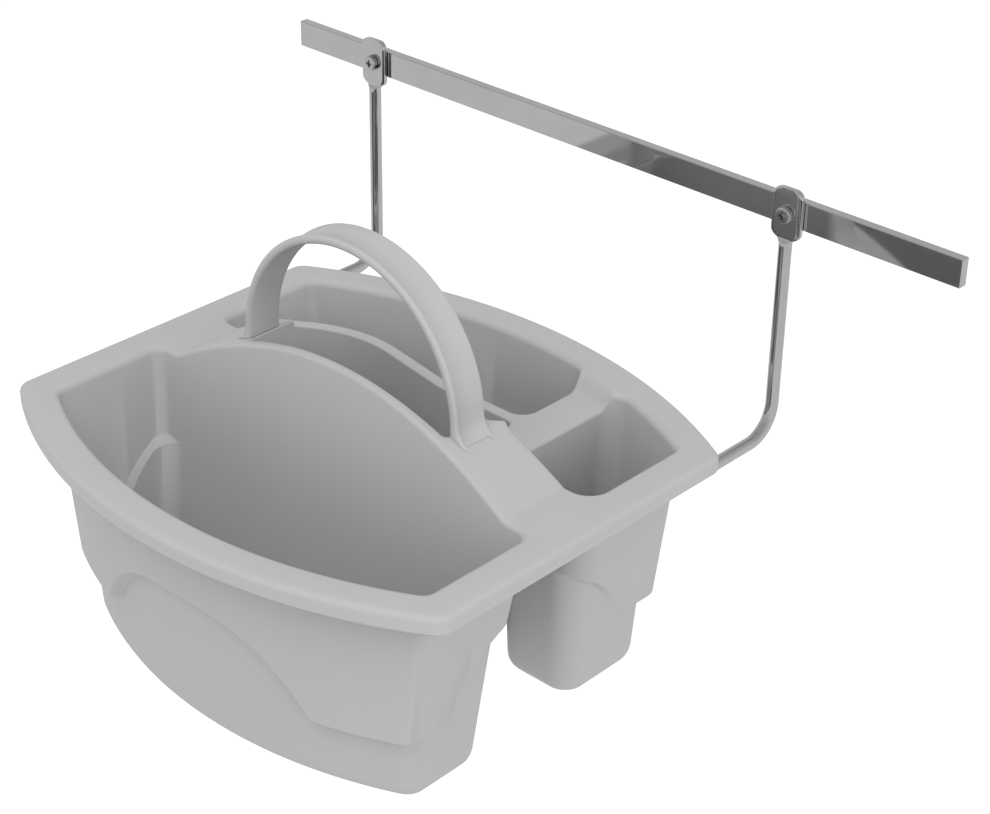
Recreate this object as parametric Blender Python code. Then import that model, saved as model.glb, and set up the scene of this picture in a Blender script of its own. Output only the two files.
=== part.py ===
"""Cleaning caddy that hangs from a wall rail by a bent rod.

Pieces: wall rail, hanger rod with flattened eye ends, two pan-head screws,
moulded caddy tub with a raised web, and an arch handle snapped into the web.

Frame: origin on the back face of the rail, over the middle of the caddy and at
half the height of the rail.  +X runs along the rail, +Y points into the wall,
+Z is up.  The tub is drawn in its own plan frame (middle of the short sides,
rim top at zero) and moved into place when its mesh is made.
"""
import math

import bmesh
import bpy
from mathutils import Vector
from mathutils.geometry import delaunay_2d_cdt

# ---------------------------------------------------------------- sizes (metres)
RIM_LENGTH = 0.381
RIM_SIDE = 0.244
FRONT_BOW = 0.05475
REAR_BOW = 0.0532
TUB_HEIGHT = 0.165

WALL = 0.003
WALL_INSET = 0.0249
BOW_INSET = 0.0231
RIM_CORNER = 0.012
RIM_ROUND = 0.004
LIP_DEPTH = 0.011
MOUTH_ROUND = 0.005

SIDE_DRAFT = 0.130
BOW_DRAFT = 0.064
LOW_DRAFT = 0.065
BOARD_DRAFT = 0.125
INNER_DRAFT = 0.02
POCKET_DRAFT = 0.058
BIN_CORNER = 0.008
LOW_CORNER = 0.013
REAR_LOW_CORNER = 0.019
FLOOR_ROUND = 0.0085
BAY_FLOOR_ROUND = 0.003

BOW_STEP_INSET = 0.0079
SIDE_STEP_INSET = 0.0033
STEP_FALL = 0.004
STEP_LOW = -0.1145
BOW_STEP_RISE = 0.0520
SIDE_STEP_RISE = 0.0580
BOW_STEP_POWER = 2.8

WEB_RISE = 0.0447
BOARD_Y = -0.027
BAY_FRONT_Y = 0.028
STEM_FRONT_Y = -0.0158
DIVIDER_DROP = 0.011
DIVIDER_WIDTH = 0.0305
DIVIDER_FRONT_Y = 0.018
RIB_WIDTH = 0.0080
RIB_SHARE = 0.391
RIB_SLANT = math.radians(32.0)
RIB_BEND = 0.090
RIB_FLARE = 0.110

HANDLE_WIDTH = 0.026
HANDLE_THICK = 0.0056
HANDLE_LIP = 0.0009
HANDLE_LIP_WIDTH = 0.0026
HANDLE_CENTRE_Z = 0.0315
FOOT_FILLET = 0.009
FOOT_INNER_SKIN = 0.0013
PLUG_WIDTH = 0.018
PLUG_DEPTH = 0.010

RAIL_LEFT = 0.2565
RAIL_RIGHT = 0.300
RAIL_HEIGHT = 0.0184
RAIL_THICK = 0.0066
RAIL_CHAMFER = 0.0004

ROD_DIAMETER = 0.0085
ROD_INSET = 0.0121
ROD_DROP = 0.016
ROD_BEND = 0.022
BOW_BEND = 0.016
TAB_WIDTH = 0.0218
TAB_HEIGHT = 0.0330
TAB_THICK = 0.0040
TAB_CORNER = 0.0055
TAB_SHOULDER = 0.0030
TAB_POWER = 7.0

SCREW_DIAMETER = 0.0050
HEAD_DIAMETER = 0.0106
HEAD_HEIGHT = 0.0036
HOLE_PLAY = 0.00015

GAP = 0.0003
RIM_TO_ROD = 0.0150
EYE_HEIGHT = 0.1368

HALF = RIM_LENGTH / 2
SIDE_HALF = RIM_SIDE / 2
INNER_X = HALF - WALL_INSET
WEB_HALF = HALF - 0.0443
POCKET_X = HALF * 0.4725
BAY_X = POCKET_X - DIVIDER_WIDTH
HANDLE_RADIUS = HALF * 0.4934
STEM_X = HANDLE_RADIUS - HANDLE_THICK - 0.0009
SIDE_STEP_HALF = SIDE_HALF * 0.6885
BOW_STEP_HALF = HALF * 0.546
SIDE_STEP_Y = -0.0045

ROD_RADIUS = ROD_DIAMETER / 2
ROD_X = HALF - ROD_INSET
ROD_Y = SIDE_HALF + REAR_BOW + RIM_TO_ROD - 0.0017
RAIL_BACK_Y = ROD_Y + TAB_THICK / 2 + RAIL_THICK
TUB_SHIFT = Vector((0.0, -RAIL_BACK_Y, -EYE_HEIGHT))

PLASTIC = (0.62, 0.62, 0.62, 1.0)
STEEL = (0.72, 0.73, 0.74, 1.0)


# ---------------------------------------------------------------- small helpers
def smooth(value):
    value = min(1.0, max(0.0, value))
    return value * value * (3.0 - 2.0 * value)


def blend(start, end, share):
    return start + (end - start) * share


def solve_pair(first, second, value_a, value_b):
    """Vector whose components along two plan normals are the two values."""
    det = first[0] * second[1] - first[1] * second[0]
    x = (value_a * second[1] - value_b * first[1]) / det
    y = (first[0] * value_b - second[0] * value_a) / det
    return (x, y)


def bow_circle(rise, side):
    """Centre height and radius of a long bowed edge; side is -1 front, +1 rear."""
    radius = (HALF * HALF + rise * rise) / (2.0 * rise)
    centre = side * (SIDE_HALF + rise - radius)
    return centre, radius


# ---------------------------------------------------------------- outlines in plan
def straight(normal, distance, draft=0.0, inset=0.0, lip=MOUTH_ROUND, steps=4):
    return {"arc": False, "n": normal, "d": distance, "draft": draft,
            "inset": inset, "lip": lip, "steps": steps}


def bowed(side, reach, draft=0.0, inset=0.0, lip=MOUTH_ROUND, steps=14):
    rise = FRONT_BOW if side < 0 else REAR_BOW
    centre, radius = bow_circle(rise, side)
    return {"arc": True, "side": side, "c": (0.0, centre), "R": radius - reach,
            "draft": draft, "inset": inset, "lip": lip, "steps": steps}


def stepped_in(side):
    """The same side at the step's low level, as it runs on below the step line."""
    low = dict(side)
    low["R" if side["arc"] else "d"] += side["draft"] * STEP_LOW - side["inset"]
    if side["inset"]:
        low["draft"] = LOW_DRAFT
    return low


def corner_centre(first, second, radius, turn):
    """Centre of the round that joins two neighbouring sides."""
    if not first["arc"] and not second["arc"]:
        return solve_pair(first["n"], second["n"], first["d"] - turn * radius,
                          second["d"] - turn * radius)
    line, arc = (second, first) if first["arc"] else (first, second)
    normal = line["n"]
    along = (-normal[1], normal[0])
    base = line["d"] - turn * radius
    from_c = base - (arc["c"][0] * normal[0] + arc["c"][1] * normal[1])
    reach = math.sqrt((arc["R"] - radius) ** 2 - from_c ** 2)
    if along[1] * arc["side"] < 0:
        reach = -reach
    return (arc["c"][0] + normal[0] * from_c + along[0] * reach,
            arc["c"][1] + normal[1] * from_c + along[1] * reach)


def side_normal(side, centre):
    if not side["arc"]:
        return side["n"]
    dx = centre[0] - side["c"][0]
    dy = centre[1] - side["c"][1]
    size = math.hypot(dx, dy)
    return (dx / size, dy / size)


def make_corner(first, second, radius):
    cross_hint = radius < 0
    turn = -1.0 if cross_hint else 1.0
    size = abs(radius)
    centre = corner_centre(first, second, size, turn)
    return {"c": centre, "r": size, "turn": turn,
            "a": side_normal(first, centre), "b": side_normal(second, centre)}


def corner_vector(corner, value_a, value_b):
    return solve_pair(corner["a"], corner["b"], value_a, value_b)


def outline(sides, radii, low_radii, fine=1, corner_steps=4):
    """Closed counter-clockwise outline; each point knows its place below the step line."""
    samples = trace(sides, radii, fine, corner_steps)
    lower = trace([stepped_in(side) for side in sides], low_radii, fine, corner_steps)
    for sample, low in zip(samples, lower):
        sample["below"] = low
    return samples


def trace(sides, radii, fine, corner_steps):
    count = len(sides)
    corners = [make_corner(sides[i], sides[(i + 1) % count], radii[i]) for i in range(count)]
    samples = []
    for index, side in enumerate(sides):
        before = corners[index - 1]
        after = corners[index]
        following = sides[(index + 1) % count]
        samples += side_samples(side, before, after, sides[index - 1], following,
                                side["steps"] * fine)
        samples += corner_samples(side, following, after, corner_steps * fine)
    return samples


def tangent_point(corner, normal):
    reach = corner["r"] * corner["turn"]
    return (corner["c"][0] + normal[0] * reach, corner["c"][1] + normal[1] * reach)


def side_samples(side, before, after, side_before, side_after, steps):
    start = tangent_point(before, before["b"])
    end = tangent_point(after, after["a"])
    draft_a = corner_vector(before, side_before["draft"], side["draft"])
    draft_b = corner_vector(after, side["draft"], side_after["draft"])
    samples = []
    for step in range(1, steps):
        share = step / steps
        point, normal = side_point(side, start, end, share)
        along = (-normal[1], normal[0])
        slide = blend(draft_a[0] * along[0] + draft_a[1] * along[1],
                      draft_b[0] * along[0] + draft_b[1] * along[1], share)
        samples.append({
            "p": point, "n": normal, "lip": side["lip"],
            "draft": (normal[0] * side["draft"] + along[0] * slide,
                      normal[1] * side["draft"] + along[1] * slide),
            "bow": 1.0 if side["arc"] else 0.0})
    return samples


def side_point(side, start, end, share):
    if not side["arc"]:
        return (blend(start[0], end[0], share), blend(start[1], end[1], share)), side["n"]
    centre = side["c"]
    first = math.atan2(start[1] - centre[1], start[0] - centre[0])
    last = math.atan2(end[1] - centre[1], end[0] - centre[0])
    while last < first:
        last += 2.0 * math.pi
    angle = blend(first, last, share)
    normal = (math.cos(angle), math.sin(angle))
    return (centre[0] + side["R"] * normal[0], centre[1] + side["R"] * normal[1]), normal


def corner_samples(first, second, corner, steps):
    start = math.atan2(corner["a"][1], corner["a"][0])
    end = math.atan2(corner["b"][1], corner["b"][0])
    if corner["turn"] > 0:
        while end < start:
            end += 2.0 * math.pi
    else:
        while end > start:
            end -= 2.0 * math.pi
    draft = corner_vector(corner, first["draft"], second["draft"])
    samples = []
    for step in range(steps + 1):
        share = step / steps
        angle = blend(start, end, share)
        normal = (math.cos(angle), math.sin(angle))
        samples.append({
            "p": tangent_point(corner, normal), "n": normal,
            "lip": blend(first["lip"], second["lip"], share), "draft": draft,
            "bow": blend(float(first["arc"]), float(second["arc"]), share)})
    return samples


# ---------------------------------------------------------------- heights of the tub
def web_height(x):
    return max(0.0, WEB_RISE * (1.0 - (x / WEB_HALF) ** 2))


def top_height(x, y):
    """Height of the visible top: rim, raised web, divider and rib."""
    lowered = -DIVIDER_DROP
    if y < BOARD_Y - 0.0005:
        return 0.0
    if y < STEM_FRONT_Y - 0.0005 or x > POCKET_X + 0.0005:
        return web_height(x) if y < BAY_FRONT_Y else 0.0
    if y < DIVIDER_FRONT_Y - 0.0035 or (x < 0.0 and y < BAY_FRONT_Y - 0.001):
        return web_height(x)
    rear = rear_wall_y(x)
    to_rim = smooth((y - rear + 0.016) / 0.014)
    side = smooth((-x - INNER_X + 0.012) / 0.012)
    level = blend(lowered, 0.0, max(to_rim, side))
    if x > 0.0:
        web = smooth((x - STEM_X + 0.0015) / 0.0025) * (1.0 - smooth((y - 0.024) / 0.0045))
        level = blend(level, web_height(x), web)
    return level


def under_height(x, y):
    """Height of the underside between the bins."""
    skin = WALL + 0.0002
    between = BAY_X < x < POCKET_X
    if between and y > DIVIDER_FRONT_Y:
        lift = smooth((y - rear_wall_y(x) - 0.002) / 0.008)
        low = -DIVIDER_DROP - skin
        return blend(low, -skin, lift)
    if y > BAY_FRONT_Y or y < BOARD_Y - 0.0005 or web_height(x) < 0.0002:
        return -skin
    ramp = max(smooth((abs(x) - STEM_X - WALL) / 0.010),
               smooth((y - STEM_FRONT_Y + WALL) / 0.010))
    return min(web_height(x) - skin, blend(0.004, web_height(x) - skin, ramp))


def rear_wall_y(x):
    centre, radius = bow_circle(REAR_BOW, 1)
    reach = radius - BOW_INSET
    return centre + math.sqrt(max(0.0, reach * reach - x * x))


def step_height(x, y, bow):
    """Height of the decorative step line on the outside of the bins."""
    side = 1.0 - ((y - SIDE_STEP_Y) / SIDE_STEP_HALF) ** 2
    front = 1.0 - abs(x / BOW_STEP_HALF) ** BOW_STEP_POWER
    low_side = STEP_LOW + SIDE_STEP_RISE * max(0.0, side)
    low_bow = STEP_LOW + BOW_STEP_RISE * max(0.0, front)
    return blend(low_side, low_bow, bow)


# ---------------------------------------------------------------- mesh assembly
class Skin:
    """Collects points and faces of one closed body."""

    def __init__(self):
        self.points = []
        self.faces = []

    def ring(self, positions):
        start = len(self.points)
        self.points += [tuple(p) for p in positions]
        return list(range(start, start + len(positions)))

    def band(self, first, second):
        count = len(first)
        for i in range(count):
            j = (i + 1) % count
            self.faces.append((first[i], first[j], second[j], second[i]))

    def sheet(self, rings, height, extra=(), keep=None):
        """Fill the plan area between closed rings; height gives z of added points."""
        index = [i for ring in rings for i in ring]
        flat = [Vector(self.points[i][:2]) for i in index]
        edges = []
        offset = 0
        for ring in rings:
            count = len(ring)
            edges += [(offset + i, offset + (i + 1) % count) for i in range(count)]
            offset += count
        flat += [Vector(p) for p in extra]
        verts, _, faces, origin, _, _ = delaunay_2d_cdt(flat, edges, [], 0, 1e-7)
        outlines = [[self.points[i][:2] for i in ring] for ring in rings]
        table = []
        for position, source in zip(verts, origin):
            known = [s for s in source if s < len(index)]
            if known:
                table.append(index[known[0]])
                continue
            self.points.append((position.x, position.y, height(position.x, position.y)))
            table.append(len(self.points) - 1)
        for face in faces:
            x = sum(verts[i].x for i in face) / len(face)
            y = sum(verts[i].y for i in face) / len(face)
            if plan_area([verts[i] for i in face]) < 1e-9:
                continue
            inside = inside_outline(x, y, outlines[0])
            if inside and not any(inside_outline(x, y, o) for o in outlines[1:]):
                self.faces.append(tuple(table[i] for i in face))


def plan_area(corners):
    a, b, c = corners
    return abs((b.x - a.x) * (c.y - a.y) - (b.y - a.y) * (c.x - a.x)) / 2


def inside_outline(x, y, outline_points):
    inside = False
    previous = outline_points[-1]
    for current in outline_points:
        if (current[1] > y) != (previous[1] > y):
            share = (y - current[1]) / (previous[1] - current[1])
            if x < current[0] + share * (previous[0] - current[0]):
                inside = not inside
        previous = current
    return inside


def moved(sample, out, z, datum=0.0):
    """Point of a drafted wall: pushed out by 'out', at height z; datum is where z counts from."""
    return (sample["p"][0] + sample["n"][0] * out + sample["draft"][0] * (z - datum),
            sample["p"][1] + sample["n"][1] * out + sample["draft"][1] * (z - datum), z)


def moved_below(sample, out, z):
    return moved(sample["below"], out, z, STEP_LOW)


def settle(sample, out, height):
    """Plan point and height where a drafted wall meets a height surface."""
    z = 0.0
    for _ in range(4):
        point = moved(sample, out, z)
        z = height(point[0], point[1])
    return z


def bin_inside(skin, samples, floor_round, arc_steps):
    """Mouth round, wall, step and floor round of one bin; returns the mouth ring."""
    floor_z = -TUB_HEIGHT + WALL
    tops = [settle(s, s["lip"], top_height) for s in samples]
    rings = []
    for step in range(arc_steps + 1):
        turn = 0.5 * math.pi * step / arc_steps
        rings.append(skin.ring([moved(s, s["lip"] * (1.0 - math.sin(turn)),
                                      z - s["lip"] * (1.0 - math.cos(turn)))
                                for s, z in zip(samples, tops)]))
    rings += wall_rings(skin, samples, 0.0, floor_z, floor_round, arc_steps)
    for first, second in zip(rings, rings[1:]):
        skin.band(first, second)
    skin.sheet([rings[-1]], lambda x, y: floor_z)
    return rings[0]


def wall_rings(skin, samples, out, floor_z, floor_round, arc_steps):
    steps = [step_height(s["p"][0], s["p"][1], s["bow"]) for s in samples]
    rings = [skin.ring([moved(s, out, z + STEP_FALL / 2) for s, z in zip(samples, steps)]),
             skin.ring([moved_below(s, out, z - STEP_FALL / 2) for s, z in zip(samples, steps)])]
    for step in range(arc_steps + 1):
        turn = 0.5 * math.pi * step / arc_steps
        z = floor_z + floor_round * (1.0 - math.sin(turn))
        rings.append(skin.ring([moved_below(s, out - floor_round * (1.0 - math.cos(turn)), z)
                                for s in samples]))
    return rings


def bin_outside(skin, samples, floor_round, arc_steps):
    """Outside of one bin from the underside of the rim to the rounded base."""
    tops = [settle(s, WALL, under_height) for s in samples]
    rings = [skin.ring([moved(s, WALL, z) for s, z in zip(samples, tops)])]
    rings += wall_rings(skin, samples, WALL, -TUB_HEIGHT, floor_round + WALL, arc_steps)
    for first, second in zip(rings, rings[1:]):
        skin.band(first, second)
    skin.sheet([rings[-1]], lambda x, y: -TUB_HEIGHT)
    return rings[0]


# ---------------------------------------------------------------- bins in plan
def front_bin(fine):
    sides = [straight((1.0, 0.0), INNER_X, SIDE_DRAFT, SIDE_STEP_INSET, steps=5),
             straight((0.0, 1.0), BOARD_Y, BOARD_DRAFT, 0.0, 0.003, steps=24),
             straight((-1.0, 0.0), INNER_X, SIDE_DRAFT, SIDE_STEP_INSET, steps=5),
             bowed(-1, BOW_INSET, BOW_DRAFT, BOW_STEP_INSET, steps=16)]
    return outline(sides, [BIN_CORNER] * 4, [LOW_CORNER] * 4, fine)


def right_bin(fine):
    sides = [straight((1.0, 0.0), INNER_X, SIDE_DRAFT, SIDE_STEP_INSET, steps=5),
             bowed(1, BOW_INSET, BOW_DRAFT, BOW_STEP_INSET, steps=5),
             straight((-1.0, 0.0), -POCKET_X, 0.0, 0.0, 0.0025, steps=6),
             straight((0.0, -1.0), -BAY_FRONT_Y, POCKET_DRAFT, 0.0, 0.004, steps=6)]
    radii = [BIN_CORNER, 0.012, 0.014, 0.014]
    return outline(sides, radii, [REAR_LOW_CORNER, 0.014, 0.014, 0.014], fine)


def rib_sides():
    """Front face normals and distances of the rib: level, falling and slanted parts."""
    level_y = blend(BAY_FRONT_Y, rear_wall_y(0.0), RIB_SHARE)
    near = (-INNER_X * 0.03, level_y)
    far = (-INNER_X * 0.60, level_y + INNER_X * 0.098)
    fall = math.atan2(far[1] - near[1], near[0] - far[0])
    parts = []
    for turn, corner in ((0.0, near), (fall, near), (-RIB_SLANT, far)):
        normal = (math.sin(turn), math.cos(turn))
        parts.append((normal, normal[0] * corner[0] + normal[1] * corner[1]))
    return parts


def bay(fine):
    rib = [straight(n, d, INNER_DRAFT, 0.0, 0.0012, steps)
           for (n, d), steps in zip(rib_sides(), (5, 4, 2))]
    sides = [straight((0.0, -1.0), -STEM_FRONT_Y, INNER_DRAFT, 0.0, 0.001, steps=16),
             straight((1.0, 0.0), STEM_X, INNER_DRAFT, 0.0, 0.0015, steps=3),
             straight((0.0, 1.0), DIVIDER_FRONT_Y, INNER_DRAFT, 0.0, 0.0015, steps=3),
             straight((1.0, 0.0), BAY_X, 0.0, 0.0, 0.0025, steps=5), *rib,
             straight((-1.0, 0.0), INNER_X, SIDE_DRAFT, SIDE_STEP_INSET, steps=2),
             straight((0.0, -1.0), -BAY_FRONT_Y, INNER_DRAFT, 0.0, 0.004, 6),
             straight((-1.0, 0.0), STEM_X, INNER_DRAFT, 0.0, 0.0015, steps=4)]
    radii = [0.004, 0.004, -0.0055, 0.006, -RIB_FLARE, RIB_BEND, 0.006, 0.010, -0.0055, 0.004]
    return outline(sides, radii, radii, fine, 3)


def left_bin(fine):
    rib = [straight((-n[0], -n[1]), -d - RIB_WIDTH, INNER_DRAFT, 0.0, 0.0012, steps)
           for (n, d), steps in zip(rib_sides(), (5, 4, 2))]
    sides = [straight((1.0, 0.0), BAY_X, 0.0, 0.0, 0.0025, steps=4),
             bowed(1, BOW_INSET, BOW_DRAFT, BOW_STEP_INSET, steps=10),
             straight((-1.0, 0.0), INNER_X, SIDE_DRAFT, SIDE_STEP_INSET, steps=3), *rib[::-1]]
    rib_radii = [0.006, -RIB_BEND - RIB_WIDTH, RIB_FLARE - RIB_WIDTH, 0.012]
    return outline(sides, [0.014, BIN_CORNER, *rib_radii], [0.014, LOW_CORNER, *rib_radii], fine, 3)


def left_pocket(fine):
    """Outside of the bay and the rear-left bin together."""
    sides = [straight((0.0, -1.0), -STEM_FRONT_Y, INNER_DRAFT, 0.0, steps=8),
             straight((1.0, 0.0), STEM_X, INNER_DRAFT, 0.0, steps=3),
             straight((0.0, 1.0), DIVIDER_FRONT_Y, INNER_DRAFT, 0.0, steps=3),
             straight((1.0, 0.0), BAY_X, 0.0, 0.0, steps=6),
             bowed(1, BOW_INSET, BOW_DRAFT, BOW_STEP_INSET, steps=10),
             straight((-1.0, 0.0), INNER_X, SIDE_DRAFT, SIDE_STEP_INSET, steps=5),
             straight((0.0, -1.0), -BAY_FRONT_Y, INNER_DRAFT, 0.0, steps=5),
             straight((-1.0, 0.0), STEM_X, INNER_DRAFT, 0.0, steps=3)]
    radii = [0.004, 0.004, -0.0055, 0.014, BIN_CORNER, 0.010, -0.0055, 0.004]
    low_radii = [0.004, 0.004, -0.0055, 0.014, LOW_CORNER, 0.010, -0.0055, 0.004]
    return outline(sides, radii, low_radii, fine, 3)


def rim_outline(fine):
    sides = [straight((1.0, 0.0), HALF, steps=5), bowed(1, 0.0, steps=18),
             straight((-1.0, 0.0), HALF, steps=5), bowed(-1, 0.0, steps=18)]
    return outline(sides, [RIM_CORNER] * 4, [RIM_CORNER] * 4, fine)


def web_points(fine):
    """Points that carry the curve of the web between its edges."""
    points = []
    count = 8 * fine
    for step in range(count + 1):
        x = blend(STEM_X + 0.004, WEB_HALF + 0.002, step / count)
        for y in (-0.015, -0.003, 0.009, 0.019):
            points += [(x, y), (-x, y)]
    return points


def divider_points(fine):
    """Points that carry the fillets of the divider and the rib ends."""
    points = []
    count = 5 * fine
    middle = (BAY_X + POCKET_X) / 2
    for share in (-0.3, 0.0, 0.3):
        x = middle + share * DIVIDER_WIDTH
        rear = rear_wall_y(x)
        for step in range(count + 1):
            points.append((x, blend(rear - 0.016, rear - 0.002, step / count)))
        points.append((x, 0.040))
    return points


# ---------------------------------------------------------------- rim rests on the rod
def rest_rings(skin):
    """Pads under both short sides that sit on the rod with shallow seats."""
    rings = []
    inner, outer = INNER_X + WALL + 0.0015, HALF - WALL - 0.0015
    seat_in, seat_out = ROD_X - ROD_RADIUS - GAP, ROD_X + ROD_RADIUS + GAP
    seat_z = -ROD_DROP + ROD_RADIUS + GAP
    prong_z = seat_z - 0.0025
    for side in (-1.0, 1.0):
        for share in (-0.62, -0.22, 0.18, 0.58):
            y = share * SIDE_HALF
            xs = [inner, seat_in - 0.0004, seat_in, seat_out, seat_out + 0.0004, outer]
            zs = [prong_z, prong_z, seat_z, seat_z, prong_z, prong_z]
            low = [(side * x, y - 0.0018, z) for x, z in zip(xs, zs)]
            high = [(side * x, y + 0.0018, z) for x, z in zip(xs, zs)]
            foot = [(side * (x + shift), y - 0.0026, -WALL - 0.0002)
                    for x, shift in zip(xs, (-0.0006, 0.0, 0.0, 0.0, 0.0, 0.0006))]
            back = [(side * (x + shift), y + 0.0026, -WALL - 0.0002)
                    for x, shift in zip(xs, (-0.0006, 0.0, 0.0, 0.0, 0.0, 0.0006))]
            base = skin.ring(foot + back[::-1])
            tip = skin.ring(low + high[::-1])
            skin.band(base, tip)
            for i in range(5):
                skin.faces.append((tip[i], tip[i + 1], tip[10 - i], tip[11 - i]))
            rings.append(base)
    return rings


def tub_skin(fine=1, arc_steps=2):
    skin = Skin()
    samples = rim_outline(fine)
    rings = []
    for step in range(arc_steps + 1):
        turn = 0.5 * math.pi * step / arc_steps
        rings.append(skin.ring([moved(s, -RIM_ROUND * (1.0 - math.sin(turn)),
                                      -RIM_ROUND * (1.0 - math.cos(turn)))
                                for s in samples]))
    for out, z in ((0.0, -LIP_DEPTH), (-WALL + 0.0003, -LIP_DEPTH), (-WALL, -WALL - 0.0002)):
        rings.append(skin.ring([moved(s, out, z) for s in samples]))
    for first, second in zip(rings, rings[1:]):
        skin.band(first, second)
    mouths = [bin_inside(skin, shape(fine), size, arc_steps)
              for shape, size in ((front_bin, FLOOR_ROUND), (right_bin, FLOOR_ROUND),
                                  (bay, BAY_FLOOR_ROUND), (left_bin, BAY_FLOOR_ROUND))]
    bases = [bin_outside(skin, shape(fine), size, arc_steps)
             for shape, size in ((front_bin, FLOOR_ROUND), (right_bin, FLOOR_ROUND),
                                 (left_pocket, BAY_FLOOR_ROUND))]
    skin.sheet([rings[0]] + mouths, top_height, web_points(fine) + divider_points(fine))
    rests = rest_rings(skin)
    skin.sheet([rings[-1]] + bases + rests, under_height, web_points(fine))
    return skin


# ---------------------------------------------------------------- objects and materials
def material(name, colour, metallic, roughness):
    made = bpy.data.materials.new(name)
    made.use_nodes = True
    shader = made.node_tree.nodes["Principled BSDF"]
    shader.inputs["Base Color"].default_value = colour
    shader.inputs["Metallic"].default_value = metallic
    shader.inputs["Roughness"].default_value = roughness
    made.diffuse_color = colour
    return made


def solid(name, skin, surface, shift, sharp=math.radians(38.0)):
    """Object from a closed skin, moved into the rail frame and shaded by angle."""
    mesh = bpy.data.meshes.new(name)
    mesh.from_pydata([Vector(p) + shift for p in skin.points], [], skin.faces)
    shape = bmesh.new()
    shape.from_mesh(mesh)
    bmesh.ops.remove_doubles(shape, verts=shape.verts, dist=1e-6)
    bmesh.ops.recalc_face_normals(shape, faces=shape.faces)
    if shape.calc_volume(signed=True) < 0:
        bmesh.ops.reverse_faces(shape, faces=shape.faces)
    shape.to_mesh(mesh)
    shape.free()
    mesh.shade_smooth()
    mesh.set_sharp_from_angle(angle=sharp)
    mesh.materials.append(surface)
    made = bpy.data.objects.new(name, mesh)
    bpy.context.scene.collection.objects.link(made)
    return made


# ---------------------------------------------------------------- arch handle
def handle_section():
    """Strap section: across the strap and outwards from its inside face."""
    half, lip, edge = HANDLE_WIDTH / 2, HANDLE_LIP, HANDLE_LIP_WIDTH
    top = HANDLE_THICK
    soft = 0.0012
    return [(-half + soft, 0.0), (half - soft, 0.0), (half, soft), (half, top - soft),
            (half - soft, top), (half - edge, top), (half - edge - 0.001, top - lip),
            (-half + edge + 0.001, top - lip), (-half + edge, top), (-half + soft, top),
            (-half, top - soft), (-half, soft)]


def foot_height(x):
    return web_height(x) + GAP


def flare(rise):
    """How far a foot's outer face stands out at this height above the web."""
    left = 1.0 - min(1.0, max(0.0, rise / FOOT_FILLET))
    return FOOT_FILLET * (1.0 - math.sqrt(1.0 - left * left))


def outer_share(t):
    """Part of the flare taken by a section point: none inside, all of it outside."""
    return max(0.0, t - FOOT_INNER_SKIN) / (HANDLE_THICK - FOOT_INNER_SKIN)


def handle_skin(fine=1):
    """Half-round arch with straight feet whose outer faces flare onto the web."""
    skin = Skin()
    section = handle_section()
    inner = HANDLE_RADIUS - HANDLE_THICK
    low = foot_height(HANDLE_RADIUS)
    arc_count = 28 * fine
    leg_count = 4 * fine
    legs = []
    for side in (1.0, -1.0):
        shares = [1.0 - math.cos(0.5 * math.pi * step / leg_count) for step in range(leg_count)]
        legs.append([[foot_point(side, u, t, low, share) for u, t in section] for share in shares])
    arch = []
    for step in range(arc_count + 1):
        angle = math.pi * step / arc_count
        side = 1.0 if step * 2 <= arc_count else -1.0
        ring = []
        for u, t in section:
            z = HANDLE_CENTRE_Z + (inner + t) * math.sin(angle)
            out = side * flare(z - low) * outer_share(t)
            ring.append(((inner + t) * math.cos(angle) + out, u, z))
        arch.append(ring)
    order = legs[0] + arch + legs[1][::-1]
    rings = [skin.ring(points) for points in order]
    for first, second in zip(rings, rings[1:]):
        skin.band(first, second)
    plugs(skin, rings[0], order[0], 1.0, inner)
    plugs(skin, rings[-1], order[-1], -1.0, inner)
    return skin


def foot_point(side, u, t, low, share):
    """One point of a foot; its lowest ring follows the slope of the web."""
    rise = (HANDLE_CENTRE_Z - low) * share
    x = HANDLE_RADIUS - HANDLE_THICK + t + flare(rise) * outer_share(t)
    floor = foot_height(x)
    return (side * x, u, max(blend(floor, low, share) + rise, floor))


def plugs(skin, ring, points, side, inner):
    """Close the foot and add the tongue that passes through the web."""
    half = PLUG_WIDTH / 2
    x_in, x_out = inner + 0.0012, inner + HANDLE_THICK - 0.0012
    corners = [(x_in, -half), (x_in, half), (x_out, half), (x_out, -half)]
    top = skin.ring([(side * x, y, foot_height(x)) for x, y in corners])
    low = skin.ring([(side * x, y, foot_height(x) - PLUG_DEPTH) for x, y in corners])
    skin.band(top, low)
    skin.faces.append(tuple(low))
    skin.sheet([ring, top], lambda x, y: foot_height(abs(x)))


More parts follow.
